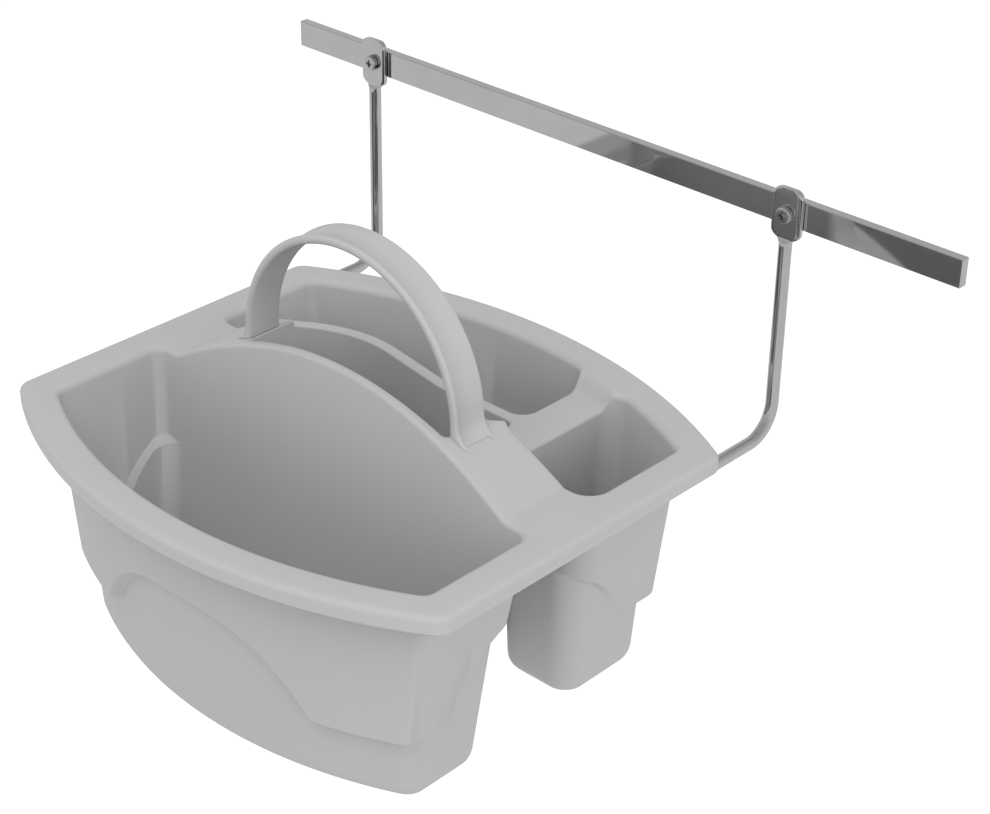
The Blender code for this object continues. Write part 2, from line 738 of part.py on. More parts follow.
# ---------------------------------------------------------------- hanger rod
def rod_path(fine):
    """Centre line of the right half: eye, upright, bend, side leg and front bow."""
    low = -ROD_DROP
    tab_low = EYE_HEIGHT - TAB_HEIGHT / 2
    path = [(ROD_X, ROD_Y, tab_low - TAB_SHOULDER - 0.002)]
    upright_end = low + ROD_BEND
    path.append((ROD_X, ROD_Y, upright_end))
    steps = 6 * fine
    for step in range(1, steps + 1):
        turn = 0.5 * math.pi * step / steps
        path.append((ROD_X, ROD_Y - ROD_BEND * (1.0 - math.cos(turn)),
                     upright_end - ROD_BEND * math.sin(turn)))
    for share in (0.75, 0.5, 0.25):
        path.append((ROD_X, blend(-SIDE_HALF * 0.8, ROD_Y - ROD_BEND, share), low))
    centre_y, radius = bow_circle(FRONT_BOW, -1)
    reach = radius - ROD_INSET
    bend_x = ROD_X - BOW_BEND
    bend_y = centre_y - math.sqrt((reach - BOW_BEND) ** 2 - bend_x ** 2)
    last = math.atan2(bend_y - centre_y, bend_x)
    for step in range(steps + 1):
        turn = last * step / steps
        path.append((bend_x + BOW_BEND * math.cos(turn), bend_y + BOW_BEND * math.sin(turn), low))
    count = 10 * fine
    for step in range(1, count + 1):
        angle = blend(last, -math.pi / 2, step / count)
        path.append((reach * math.cos(angle), centre_y + reach * math.sin(angle), low))
    return [Vector(p) for p in path]


def round_ring(centre, along, across, sides):
    """Circle round a path point; 'across' is carried from ring to ring to avoid twist."""
    third = along.cross(across).normalized()
    return [centre + (across * math.cos(2.0 * math.pi * i / sides)
                      + third * math.sin(2.0 * math.pi * i / sides)) * ROD_RADIUS
            for i in range(sides)]


def tab_ring(z, wide, thick, sides, power):
    """Flattened section at height z on the right upright."""
    points = []
    for i in range(sides):
        angle = 2.0 * math.pi * i / sides
        c, s = math.cos(angle), math.sin(angle)
        size = (abs(c) ** power + abs(s) ** power) ** (-1.0 / power)
        points.append(Vector((ROD_X - s * size * wide / 2, ROD_Y - c * size * thick / 2, z)))
    return points


def eye_rings(sides, fine):
    """Flattened end with rounded corners and the short collar down to the round rod."""
    top = EYE_HEIGHT + TAB_HEIGHT / 2
    low = EYE_HEIGHT - TAB_HEIGHT / 2
    rings = []
    steps = 3 * fine
    for end, sign in ((top, -1.0), (low, 1.0)):
        turns = [0.5 * math.pi * step / steps for step in range(1, steps + 1)]
        corner = [(end + sign * TAB_CORNER * (1.0 - math.cos(turn)),
                   TAB_WIDTH - 2.0 * TAB_CORNER * (1.0 - math.sin(turn))) for turn in turns]
        for z, wide in (corner if sign < 0.0 else corner[::-1]):
            rings.append(tab_ring(z, wide, TAB_THICK, sides, TAB_POWER))
    wide = TAB_WIDTH - 2.0 * TAB_CORNER
    for share in (0.2, 0.6, 1.0):
        ease = smooth(share)
        rings.append(tab_ring(low - TAB_SHOULDER * share, blend(wide, ROD_DIAMETER, ease),
                              blend(TAB_THICK, ROD_DIAMETER, ease), sides,
                              blend(TAB_POWER, 2.0, ease)))
    return rings


def rod_skin(fine=1, sides=16):
    skin = Skin()
    path = rod_path(fine)
    across = Vector((0.0, -1.0, 0.0))
    half = eye_rings(sides, fine)
    for index, point in enumerate(path):
        before = path[max(0, index - 1)]
        after = path[min(len(path) - 1, index + 1)]
        along = (after - before).normalized()
        if index == len(path) - 1:
            along = Vector((-1.0, 0.0, 0.0))
        across = (across - along * across.dot(along)).normalized()
        half.append(round_ring(point, along, across, sides))
    mirrored = [[Vector((-p.x, p.y, p.z)) for p in ring] for ring in half[:-1]]
    rings = [skin.ring(r) for r in half] + [skin.ring(r) for r in mirrored[::-1]]
    for first, second in zip(rings, rings[1:]):
        skin.band(first, second)
    skin.faces.append(tuple(rings[0]))
    skin.faces.append(tuple(rings[-1]))
    return skin


# ---------------------------------------------------------------- rail and screws
def rail_skin():
    """Flat bar with a small chamfer round its long and short edges."""
    skin = Skin()
    y0, y1 = RAIL_BACK_Y - RAIL_THICK, RAIL_BACK_Y
    z0, z1 = EYE_HEIGHT - RAIL_HEIGHT / 2, EYE_HEIGHT + RAIL_HEIGHT / 2
    c = RAIL_CHAMFER

    def section(x, shrink):
        return [(x, y0 + shrink, z0 + c + shrink), (x, y0 + c + shrink, z0 + shrink),
                (x, y1 - c - shrink, z0 + shrink), (x, y1 - shrink, z0 + c + shrink),
                (x, y1 - shrink, z1 - c - shrink), (x, y1 - c - shrink, z1 - shrink),
                (x, y0 + c + shrink, z1 - shrink), (x, y0 + shrink, z1 - c - shrink)]

    rings = [skin.ring(section(x, shrink)) for x, shrink in
             ((-RAIL_LEFT, c), (-RAIL_LEFT + c, 0.0), (RAIL_RIGHT - c, 0.0), (RAIL_RIGHT, c))]
    for first, second in zip(rings, rings[1:]):
        skin.band(first, second)
    skin.faces.append(tuple(rings[0]))
    skin.faces.append(tuple(rings[-1]))
    return skin


def cylinder_skin(x, radius, y_from, y_to, sides=24):
    skin = Skin()
    ends = []
    for y in (y_from, y_to):
        ends.append(skin.ring([(x + radius * math.cos(2.0 * math.pi * i / sides), y,
                                EYE_HEIGHT + radius * math.sin(2.0 * math.pi * i / sides))
                               for i in range(sides)]))
    skin.band(ends[0], ends[1])
    skin.faces.append(tuple(ends[0]))
    skin.faces.append(tuple(ends[1]))
    return skin


def box_skin(low, high):
    skin = Skin()
    rings = []
    for z in (low[2], high[2]):
        rings.append(skin.ring([(low[0], low[1], z), (high[0], low[1], z),
                                (high[0], high[1], z), (low[0], high[1], z)]))
    skin.band(rings[0], rings[1])
    skin.faces.append(tuple(rings[0]))
    skin.faces.append(tuple(rings[1]))
    return skin


def screw_skin(x, sides=24):
    """Pan-head screw: domed head, shank through the eye and into the rail."""
    skin = Skin()
    face_y = ROD_Y - TAB_THICK / 2 - GAP
    head = HEAD_DIAMETER / 2
    shank = SCREW_DIAMETER / 2
    profile = [(0.45 * head, -HEAD_HEIGHT), (0.80 * head, -HEAD_HEIGHT * 0.92),
               (0.96 * head, -HEAD_HEIGHT * 0.70), (head, -HEAD_HEIGHT * 0.42), (head, 0.0),
               (shank, 0.0), (shank, RAIL_BACK_Y - 0.0010 - face_y)]
    rings = []
    for radius, y in profile:
        rings.append(skin.ring([(x + radius * math.cos(2.0 * math.pi * i / sides), face_y + y,
                                 EYE_HEIGHT + radius * math.sin(2.0 * math.pi * i / sides))
                                for i in range(sides)]))
    for first, second in zip(rings, rings[1:]):
        skin.band(first, second)
    skin.faces.append(tuple(rings[0]))
    skin.faces.append(tuple(rings[-1]))
    return skin


def cutter(target, name, skin, surface):
    """Hidden solid taken away from its target."""
    tool = solid(name, skin, surface, TUB_SHIFT)
    tool.hide_render = True
    tool.display_type = "WIRE"
    cut = target.modifiers.new(name, "BOOLEAN")
    cut.operation = "DIFFERENCE"
    cut.solver = "EXACT"
    cut.object = tool
    return tool


def cross_skin(x):
    """Four-armed driver recess of a screw head."""
    skin = Skin()
    arm, half, inner = 0.0027, 0.00055, 0.0011
    y0 = ROD_Y - TAB_THICK / 2 - GAP - HEAD_HEIGHT - 0.001
    y1 = ROD_Y - TAB_THICK / 2 - GAP - HEAD_HEIGHT + 0.0019
    plan = []
    for quarter in range(4):
        turn = 0.5 * math.pi * quarter
        for reach, off in ((arm, -half), (arm, half), (inner, inner)):
            plan.append((reach * math.cos(turn) - off * math.sin(turn),
                         reach * math.sin(turn) + off * math.cos(turn)))
    rings = []
    for y, size in ((y0, 1.0), (y1, 0.8)):
        rings.append(skin.ring([(x + px * size, y, EYE_HEIGHT + pz * size) for px, pz in plan]))
    skin.band(rings[0], rings[1])
    skin.faces.append(tuple(rings[0]))
    skin.faces.append(tuple(rings[1]))
    return skin


def build():
    for old in list(bpy.data.objects):
        bpy.data.objects.remove(old, do_unlink=True)
    surfaces = {name: material(name, colour, metal, rough) for name, colour, metal, rough in (
        ("tub_plastic", PLASTIC, 0.0, 0.42), ("handle_plastic", PLASTIC, 0.0, 0.40),
        ("rod_chrome", STEEL, 1.0, 0.10), ("rail_chrome", STEEL, 1.0, 0.08),
        ("screw_steel_left", STEEL, 1.0, 0.18), ("screw_steel_right", STEEL, 1.0, 0.18),
        ("cutter", (0.2, 0.2, 0.2, 1.0), 0.0, 0.5))}
    tub = solid("tub", tub_skin(), surfaces["tub_plastic"], TUB_SHIFT)
    solid("handle", handle_skin(), surfaces["handle_plastic"], TUB_SHIFT)
    rod = solid("hanger_rod", rod_skin(), surfaces["rod_chrome"], TUB_SHIFT)
    rail = solid("rail", rail_skin(), surfaces["rail_chrome"], TUB_SHIFT)
    inner = HANDLE_RADIUS - HANDLE_THICK
    for tag, side in (("left", -1.0), ("right", 1.0)):
        x = side * ROD_X
        hole = SCREW_DIAMETER / 2 + HOLE_PLAY
        cutter(rod, "eye_hole_" + tag,
               cylinder_skin(x, hole, ROD_Y - 0.006, ROD_Y + 0.006), surfaces["cutter"])
        cutter(rail, "rail_hole_" + tag,
               cylinder_skin(x, hole, RAIL_BACK_Y - RAIL_THICK - 0.003, RAIL_BACK_Y + 0.003),
               surfaces["cutter"])
        screw = solid("screw_" + tag, screw_skin(x), surfaces["screw_steel_" + tag], TUB_SHIFT)
        cutter(screw, "cross_" + tag, cross_skin(x), surfaces["cutter"])
        near, far = inner + 0.0012 - GAP, inner + HANDLE_THICK - 0.0012 + GAP
        low = (min(side * near, side * far), -PLUG_WIDTH / 2 - GAP, 0.010)
        high = (max(side * near, side * far), PLUG_WIDTH / 2 + GAP, 0.045)
        cutter(tub, "plug_slot_" + tag, box_skin(low, high), surfaces["cutter"])


build()
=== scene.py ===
"""Looks of the cleaning caddy that hangs from a wall rail.

The tub, the arch handle, the rod and the screws are drawn again with fine, smooth
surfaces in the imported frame; the rail keeps its solid.  All sizes are in metres.
"""
import math

import bmesh
import bpy
from mathutils import Matrix, Vector
from mathutils.geometry import delaunay_2d_cdt


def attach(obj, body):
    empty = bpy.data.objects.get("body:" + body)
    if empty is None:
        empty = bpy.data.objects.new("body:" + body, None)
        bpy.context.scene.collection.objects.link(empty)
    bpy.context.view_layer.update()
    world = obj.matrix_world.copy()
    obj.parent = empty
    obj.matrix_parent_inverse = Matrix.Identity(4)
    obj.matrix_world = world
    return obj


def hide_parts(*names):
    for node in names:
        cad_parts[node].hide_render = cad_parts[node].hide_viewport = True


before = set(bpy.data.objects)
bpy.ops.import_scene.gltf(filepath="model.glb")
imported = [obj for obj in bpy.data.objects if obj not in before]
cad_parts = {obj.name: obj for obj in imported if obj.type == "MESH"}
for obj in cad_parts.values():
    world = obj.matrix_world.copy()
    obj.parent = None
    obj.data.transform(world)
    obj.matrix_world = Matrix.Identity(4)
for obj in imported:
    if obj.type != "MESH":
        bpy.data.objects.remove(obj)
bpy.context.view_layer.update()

# ---------------------------------------------------------------- sizes (metres)
RIM_LENGTH = 0.381
RIM_SIDE = 0.244
FRONT_BOW = 0.05475
REAR_BOW = 0.0532
TUB_HEIGHT = 0.165

WALL = 0.003
WALL_INSET = 0.0249
BOW_INSET = 0.0231
RIM_CORNER = 0.012
RIM_ROUND = 0.004
LIP_DEPTH = 0.011
MOUTH_ROUND = 0.005

SIDE_DRAFT = 0.130
BOW_DRAFT = 0.064
LOW_DRAFT = 0.065
BOARD_DRAFT = 0.125
INNER_DRAFT = 0.02
POCKET_DRAFT = 0.058
BIN_CORNER = 0.008
LOW_CORNER = 0.013
REAR_LOW_CORNER = 0.019
FLOOR_ROUND = 0.0085
BAY_FLOOR_ROUND = 0.003

BOW_STEP_INSET = 0.0079
SIDE_STEP_INSET = 0.0033
STEP_FALL = 0.004
STEP_LOW = -0.1145
BOW_STEP_RISE = 0.0520
SIDE_STEP_RISE = 0.0580
BOW_STEP_POWER = 2.8
STEP_RINGS = 6

WEB_RISE = 0.0447
BOARD_Y = -0.027
BAY_FRONT_Y = 0.028
STEM_FRONT_Y = -0.0158
DIVIDER_DROP = 0.011
DIVIDER_WIDTH = 0.0305
DIVIDER_FRONT_Y = 0.018
RIB_WIDTH = 0.0080
RIB_SHARE = 0.391
RIB_SLANT = math.radians(32.0)
RIB_BEND = 0.090
RIB_FLARE = 0.110

HANDLE_WIDTH = 0.026
HANDLE_THICK = 0.0056
HANDLE_LIP = 0.0009
HANDLE_LIP_WIDTH = 0.0026
HANDLE_CENTRE_Z = 0.0315
FOOT_FILLET = 0.009
FOOT_INNER_SKIN = 0.0013
PLUG_WIDTH = 0.018
PLUG_DEPTH = 0.010

RAIL_LEFT = 0.2565
RAIL_RIGHT = 0.300
RAIL_HEIGHT = 0.0184
RAIL_THICK = 0.0066
RAIL_CHAMFER = 0.0004

ROD_DIAMETER = 0.0085
ROD_INSET = 0.0121
ROD_DROP = 0.016
ROD_BEND = 0.022
BOW_BEND = 0.016
TAB_WIDTH = 0.0218
TAB_HEIGHT = 0.0330
TAB_THICK = 0.0040
TAB_CORNER = 0.0055
TAB_SHOULDER = 0.0030
TAB_POWER = 7.0

SCREW_DIAMETER = 0.0050
HEAD_DIAMETER = 0.0106
HEAD_HEIGHT = 0.0036
HOLE_PLAY = 0.00015

GAP = 0.0003
RIM_TO_ROD = 0.0150
EYE_HEIGHT = 0.1368

HALF = RIM_LENGTH / 2
SIDE_HALF = RIM_SIDE / 2
INNER_X = HALF - WALL_INSET
WEB_HALF = HALF - 0.0443
POCKET_X = HALF * 0.4725
BAY_X = POCKET_X - DIVIDER_WIDTH
HANDLE_RADIUS = HALF * 0.4934
STEM_X = HANDLE_RADIUS - HANDLE_THICK - 0.0009
SIDE_STEP_HALF = SIDE_HALF * 0.6885
BOW_STEP_HALF = HALF * 0.546
SIDE_STEP_Y = -0.0045

ROD_RADIUS = ROD_DIAMETER / 2
ROD_X = HALF - ROD_INSET
ROD_Y = SIDE_HALF + REAR_BOW + RIM_TO_ROD - 0.0017
RAIL_BACK_Y = ROD_Y + TAB_THICK / 2 + RAIL_THICK
TUB_SHIFT = Vector((0.0, -RAIL_BACK_Y, -EYE_HEIGHT))



# ---------------------------------------------------------------- small helpers
def smooth(value):
    value = min(1.0, max(0.0, value))
    return value * value * (3.0 - 2.0 * value)


def blend(start, end, share):
    return start + (end - start) * share


def solve_pair(first, second, value_a, value_b):
    """Vector whose components along two plan normals are the two values."""
    det = first[0] * second[1] - first[1] * second[0]
    x = (value_a * second[1] - value_b * first[1]) / det
    y = (first[0] * value_b - second[0] * value_a) / det
    return (x, y)


def bow_circle(rise, side):
    """Centre height and radius of a long bowed edge; side is -1 front, +1 rear."""
    radius = (HALF * HALF + rise * rise) / (2.0 * rise)
    centre = side * (SIDE_HALF + rise - radius)
    return centre, radius


# ---------------------------------------------------------------- outlines in plan
def straight(normal, distance, draft=0.0, inset=0.0, lip=MOUTH_ROUND, steps=4):
    return {"arc": False, "n": normal, "d": distance, "draft": draft,
            "inset": inset, "lip": lip, "steps": steps}


def bowed(side, reach, draft=0.0, inset=0.0, lip=MOUTH_ROUND, steps=14):
    rise = FRONT_BOW if side < 0 else REAR_BOW
    centre, radius = bow_circle(rise, side)
    return {"arc": True, "side": side, "c": (0.0, centre), "R": radius - reach,
            "draft": draft, "inset": inset, "lip": lip, "steps": steps}


def stepped_in(side):
    """The same side at the step's low level, as it runs on below the step line."""
    low = dict(side)
    low["R" if side["arc"] else "d"] += side["draft"] * STEP_LOW - side["inset"]
    if side["inset"]:
        low["draft"] = LOW_DRAFT
    return low


def corner_centre(first, second, radius, turn):
    """Centre of the round that joins two neighbouring sides."""
    if not first["arc"] and not second["arc"]:
        return solve_pair(first["n"], second["n"], first["d"] - turn * radius,
                          second["d"] - turn * radius)
    line, arc = (second, first) if first["arc"] else (first, second)
    normal = line["n"]
    along = (-normal[1], normal[0])
    base = line["d"] - turn * radius
    from_c = base - (arc["c"][0] * normal[0] + arc["c"][1] * normal[1])
    reach = math.sqrt((arc["R"] - radius) ** 2 - from_c ** 2)
    if along[1] * arc["side"] < 0:
        reach = -reach
    return (arc["c"][0] + normal[0] * from_c + along[0] * reach,
            arc["c"][1] + normal[1] * from_c + along[1] * reach)


def side_normal(side, centre):
    if not side["arc"]:
        return side["n"]
    dx = centre[0] - side["c"][0]
    dy = centre[1] - side["c"][1]
    size = math.hypot(dx, dy)
    return (dx / size, dy / size)


def make_corner(first, second, radius):
    cross_hint = radius < 0
    turn = -1.0 if cross_hint else 1.0
    size = abs(radius)
    centre = corner_centre(first, second, size, turn)
    return {"c": centre, "r": size, "turn": turn,
            "a": side_normal(first, centre), "b": side_normal(second, centre)}


def corner_vector(corner, value_a, value_b):
    return solve_pair(corner["a"], corner["b"], value_a, value_b)


def outline(sides, radii, low_radii, fine=1, corner_steps=4):
    """Closed counter-clockwise outline; each point knows its place below the step line."""
    samples = trace(sides, radii, fine, corner_steps)
    lower = trace([stepped_in(side) for side in sides], low_radii, fine, corner_steps)
    for sample, low in zip(samples, lower):
        sample["below"] = low
    return samples


def trace(sides, radii, fine, corner_steps):
    count = len(sides)
    corners = [make_corner(sides[i], sides[(i + 1) % count], radii[i]) for i in range(count)]
    samples = []
    for index, side in enumerate(sides):
        before = corners[index - 1]
        after = corners[index]
        following = sides[(index + 1) % count]
        samples += side_samples(side, before, after, sides[index - 1], following,
                                side["steps"] * fine)
        samples += corner_samples(side, following, after, corner_steps * fine)
    return samples


def tangent_point(corner, normal):
    reach = corner["r"] * corner["turn"]
    return (corner["c"][0] + normal[0] * reach, corner["c"][1] + normal[1] * reach)


def side_samples(side, before, after, side_before, side_after, steps):
    start = tangent_point(before, before["b"])
    end = tangent_point(after, after["a"])
    draft_a = corner_vector(before, side_before["draft"], side["draft"])
    draft_b = corner_vector(after, side["draft"], side_after["draft"])
    samples = []
    for step in range(1, steps):
        share = step / steps
        point, normal = side_point(side, start, end, share)
        along = (-normal[1], normal[0])
        slide = blend(draft_a[0] * along[0] + draft_a[1] * along[1],
                      draft_b[0] * along[0] + draft_b[1] * along[1], share)
        samples.append({
            "p": point, "n": normal, "lip": side["lip"],
            "draft": (normal[0] * side["draft"] + along[0] * slide,
                      normal[1] * side["draft"] + along[1] * slide),
            "bow": 1.0 if side["arc"] else 0.0})
    return samples


def side_point(side, start, end, share):
    if not side["arc"]:
        return (blend(start[0], end[0], share), blend(start[1], end[1], share)), side["n"]
    centre = side["c"]
    first = math.atan2(start[1] - centre[1], start[0] - centre[0])
    last = math.atan2(end[1] - centre[1], end[0] - centre[0])
    while last < first:
        last += 2.0 * math.pi
    angle = blend(first, last, share)
    normal = (math.cos(angle), math.sin(angle))
    return (centre[0] + side["R"] * normal[0], centre[1] + side["R"] * normal[1]), normal


def corner_samples(first, second, corner, steps):
    start = math.atan2(corner["a"][1], corner["a"][0])
    end = math.atan2(corner["b"][1], corner["b"][0])
    if corner["turn"] > 0:
        while end < start:
            end += 2.0 * math.pi
    else:
        while end > start:
            end -= 2.0 * math.pi
    draft = corner_vector(corner, first["draft"], second["draft"])
    samples = []
    for step in range(steps + 1):
        share = step / steps
        angle = blend(start, end, share)
        normal = (math.cos(angle), math.sin(angle))
        samples.append({
            "p": tangent_point(corner, normal), "n": normal,
            "lip": blend(first["lip"], second["lip"], share), "draft": draft,
            "bow": blend(float(first["arc"]), float(second["arc"]), share)})
    return samples


# ---------------------------------------------------------------- heights of the tub
def web_height(x):
    return max(0.0, WEB_RISE * (1.0 - (x / WEB_HALF) ** 2))


def top_height(x, y):
    """Height of the visible top: rim, raised web, divider and rib."""
    lowered = -DIVIDER_DROP
    if y < BOARD_Y - 0.0005:
        return 0.0
    if y < STEM_FRONT_Y - 0.0005 or x > POCKET_X + 0.0005:
        return web_height(x) if y < BAY_FRONT_Y else 0.0
    if y < DIVIDER_FRONT_Y - 0.0035 or (x < 0.0 and y < BAY_FRONT_Y - 0.001):
        return web_height(x)
    rear = rear_wall_y(x)
    to_rim = smooth((y - rear + 0.016) / 0.014)
    side = smooth((-x - INNER_X + 0.012) / 0.012)
    level = blend(lowered, 0.0, max(to_rim, side))
    if x > 0.0:
        web = smooth((x - STEM_X + 0.0015) / 0.0025) * (1.0 - smooth((y - 0.024) / 0.0045))
        level = blend(level, web_height(x), web)
    return level


def under_height(x, y):
    """Height of the underside between the bins."""
    skin = WALL + 0.0002
    between = BAY_X < x < POCKET_X
    if between and y > DIVIDER_FRONT_Y:
        lift = smooth((y - rear_wall_y(x) - 0.002) / 0.008)
        low = -DIVIDER_DROP - skin
        return blend(low, -skin, lift)
    if y > BAY_FRONT_Y or y < BOARD_Y - 0.0005 or web_height(x) < 0.0002:
        return -skin
    ramp = max(smooth((abs(x) - STEM_X - WALL) / 0.010),
               smooth((y - STEM_FRONT_Y + WALL) / 0.010))
    return min(web_height(x) - skin, blend(0.004, web_height(x) - skin, ramp))


def rear_wall_y(x):
    centre, radius = bow_circle(REAR_BOW, 1)
    reach = radius - BOW_INSET
    return centre + math.sqrt(max(0.0, reach * reach - x * x))


def step_height(x, y, bow):
    """Height of the decorative step line on the outside of the bins."""
    side = 1.0 - ((y - SIDE_STEP_Y) / SIDE_STEP_HALF) ** 2
    front = 1.0 - abs(x / BOW_STEP_HALF) ** BOW_STEP_POWER
    low_side = STEP_LOW + SIDE_STEP_RISE * max(0.0, side)
    low_bow = STEP_LOW + BOW_STEP_RISE * max(0.0, front)
    return blend(low_side, low_bow, bow)


# ---------------------------------------------------------------- mesh assembly
class Skin:
    """Collects points and faces of one closed body."""

    def __init__(self):
        self.points = []
        self.faces = []

    def ring(self, positions):
        start = len(self.points)
        self.points += [tuple(p) for p in positions]
        return list(range(start, start + len(positions)))

    def band(self, first, second):
        count = len(first)
        for i in range(count):
            j = (i + 1) % count
            self.faces.append((first[i], first[j], second[j], second[i]))

    def sheet(self, rings, height, extra=(), keep=None):
        """Fill the plan area between closed rings; height gives z of added points."""
        index = [i for ring in rings for i in ring]
        flat = [Vector(self.points[i][:2]) for i in index]
        edges = []
        offset = 0
        for ring in rings:
            count = len(ring)
            edges += [(offset + i, offset + (i + 1) % count) for i in range(count)]
            offset += count
        flat += [Vector(p) for p in extra]
        verts, _, faces, origin, _, _ = delaunay_2d_cdt(flat, edges, [], 0, 1e-7)
        outlines = [[self.points[i][:2] for i in ring] for ring in rings]
        table = []
        for position, source in zip(verts, origin):
            known = [s for s in source if s < len(index)]
            if known:
                table.append(index[known[0]])
                continue
            self.points.append((position.x, position.y, height(position.x, position.y)))
            table.append(len(self.points) - 1)
        for face in faces:
            x = sum(verts[i].x for i in face) / len(face)
            y = sum(verts[i].y for i in face) / len(face)
            if plan_area([verts[i] for i in face]) < 1e-9:
                continue
            inside = inside_outline(x, y, outlines[0])
            if inside and not any(inside_outline(x, y, o) for o in outlines[1:]):
                self.faces.append(tuple(table[i] for i in face))


def plan_area(corners):
    a, b, c = corners
    return abs((b.x - a.x) * (c.y - a.y) - (b.y - a.y) * (c.x - a.x)) / 2


def inside_outline(x, y, outline_points):
    inside = False
    previous = outline_points[-1]
    for current in outline_points:
        if (current[1] > y) != (previous[1] > y):
            share = (y - current[1]) / (previous[1] - current[1])
            if x < current[0] + share * (previous[0] - current[0]):
                inside = not inside
        previous = current
    return inside


def moved(sample, out, z, datum=0.0):
    """Point of a drafted wall: pushed out by 'out', at height z; datum is where z counts from."""
    return (sample["p"][0] + sample["n"][0] * out + sample["draft"][0] * (z - datum),
            sample["p"][1] + sample["n"][1] * out + sample["draft"][1] * (z - datum), z)


def moved_below(sample, out, z):
    return moved(sample["below"], out, z, STEP_LOW)


def settle(sample, out, height):
    """Plan point and height where a drafted wall meets a height surface."""
    z = 0.0
    for _ in range(4):
        point = moved(sample, out, z)
        z = height(point[0], point[1])
    return z


def bin_inside(skin, samples, floor_round, arc_steps):
    """Mouth round, wall, step and floor round of one bin; returns the mouth ring."""
    floor_z = -TUB_HEIGHT + WALL
    tops = [settle(s, s["lip"], top_height) for s in samples]
    rings = []
    for step in range(arc_steps + 1):
        turn = 0.5 * math.pi * step / arc_steps
        rings.append(skin.ring([moved(s, s["lip"] * (1.0 - math.sin(turn)),
                                      z - s["lip"] * (1.0 - math.cos(turn)))
                                for s, z in zip(samples, tops)]))
    rings += wall_rings(skin, samples, 0.0, floor_z, floor_round, arc_steps)
    for first, second in zip(rings, rings[1:]):
        skin.band(first, second)
    skin.sheet([rings[-1]], lambda x, y: floor_z)
    return rings[0]


def wall_rings(skin, samples, out, floor_z, floor_round, arc_steps):
    steps = [step_height(s["p"][0], s["p"][1], s["bow"]) for s in samples]
    rings = []
    for step in range(STEP_RINGS + 1):
        share = step / STEP_RINGS
        ease = smooth(share)
        ring = []
        for sample, z in zip(samples, steps):
            level = z + STEP_FALL * (0.5 - share)
            upper = Vector(moved(sample, out, level))
            ring.append(upper.lerp(Vector(moved_below(sample, out, level)), ease))
        rings.append(skin.ring(ring))
    for step in range(arc_steps + 1):
        turn = 0.5 * math.pi * step / arc_steps
        z = floor_z + floor_round * (1.0 - math.sin(turn))
        rings.append(skin.ring([moved_below(s, out - floor_round * (1.0 - math.cos(turn)), z)
                                for s in samples]))
    return rings


def bin_outside(skin, samples, floor_round, arc_steps):
    """Outside of one bin from the underside of the rim to the rounded base."""
    tops = [settle(s, WALL, under_height) for s in samples]
    rings = [skin.ring([moved(s, WALL, z) for s, z in zip(samples, tops)])]
    rings += wall_rings(skin, samples, WALL, -TUB_HEIGHT, floor_round + WALL, arc_steps)
    for first, second in zip(rings, rings[1:]):
        skin.band(first, second)
    skin.sheet([rings[-1]], lambda x, y: -TUB_HEIGHT)
    return rings[0]


# ---------------------------------------------------------------- bins in plan
def front_bin(fine):
    sides = [straight((1.0, 0.0), INNER_X, SIDE_DRAFT, SIDE_STEP_INSET, steps=5),
             straight((0.0, 1.0), BOARD_Y, BOARD_DRAFT, 0.0, 0.003, steps=24),
             straight((-1.0, 0.0), INNER_X, SIDE_DRAFT, SIDE_STEP_INSET, steps=5),
             bowed(-1, BOW_INSET, BOW_DRAFT, BOW_STEP_INSET, steps=16)]
    return outline(sides, [BIN_CORNER] * 4, [LOW_CORNER] * 4, fine)


def right_bin(fine):
    sides = [straight((1.0, 0.0), INNER_X, SIDE_DRAFT, SIDE_STEP_INSET, steps=5),
             bowed(1, BOW_INSET, BOW_DRAFT, BOW_STEP_INSET, steps=5),
             straight((-1.0, 0.0), -POCKET_X, 0.0, 0.0, 0.0025, steps=6),
             straight((0.0, -1.0), -BAY_FRONT_Y, POCKET_DRAFT, 0.0, 0.004, steps=6)]
    radii = [BIN_CORNER, 0.012, 0.014, 0.014]
    return outline(sides, radii, [REAR_LOW_CORNER, 0.014, 0.014, 0.014], fine)


def rib_sides():
    """Front face normals and distances of the rib: level, falling and slanted parts."""
    level_y = blend(BAY_FRONT_Y, rear_wall_y(0.0), RIB_SHARE)
    near = (-INNER_X * 0.03, level_y)
    far = (-INNER_X * 0.60, level_y + INNER_X * 0.098)
    fall = math.atan2(far[1] - near[1], near[0] - far[0])
    parts = []
    for turn, corner in ((0.0, near), (fall, near), (-RIB_SLANT, far)):
        normal = (math.sin(turn), math.cos(turn))
        parts.append((normal, normal[0] * corner[0] + normal[1] * corner[1]))
    return parts


def bay(fine):
    rib = [straight(n, d, INNER_DRAFT, 0.0, 0.0012, steps)
           for (n, d), steps in zip(rib_sides(), (5, 4, 2))]
    sides = [straight((0.0, -1.0), -STEM_FRONT_Y, INNER_DRAFT, 0.0, 0.001, steps=16),
             straight((1.0, 0.0), STEM_X, INNER_DRAFT, 0.0, 0.0015, steps=3),
             straight((0.0, 1.0), DIVIDER_FRONT_Y, INNER_DRAFT, 0.0, 0.0015, steps=3),
             straight((1.0, 0.0), BAY_X, 0.0, 0.0, 0.0025, steps=5), *rib,
             straight((-1.0, 0.0), INNER_X, SIDE_DRAFT, SIDE_STEP_INSET, steps=2),
             straight((0.0, -1.0), -BAY_FRONT_Y, INNER_DRAFT, 0.0, 0.004, 6),
             straight((-1.0, 0.0), STEM_X, INNER_DRAFT, 0.0, 0.0015, steps=4)]
    radii = [0.004, 0.004, -0.0055, 0.006, -RIB_FLARE, RIB_BEND, 0.006, 0.010, -0.0055, 0.004]
    return outline(sides, radii, radii, fine, 3)


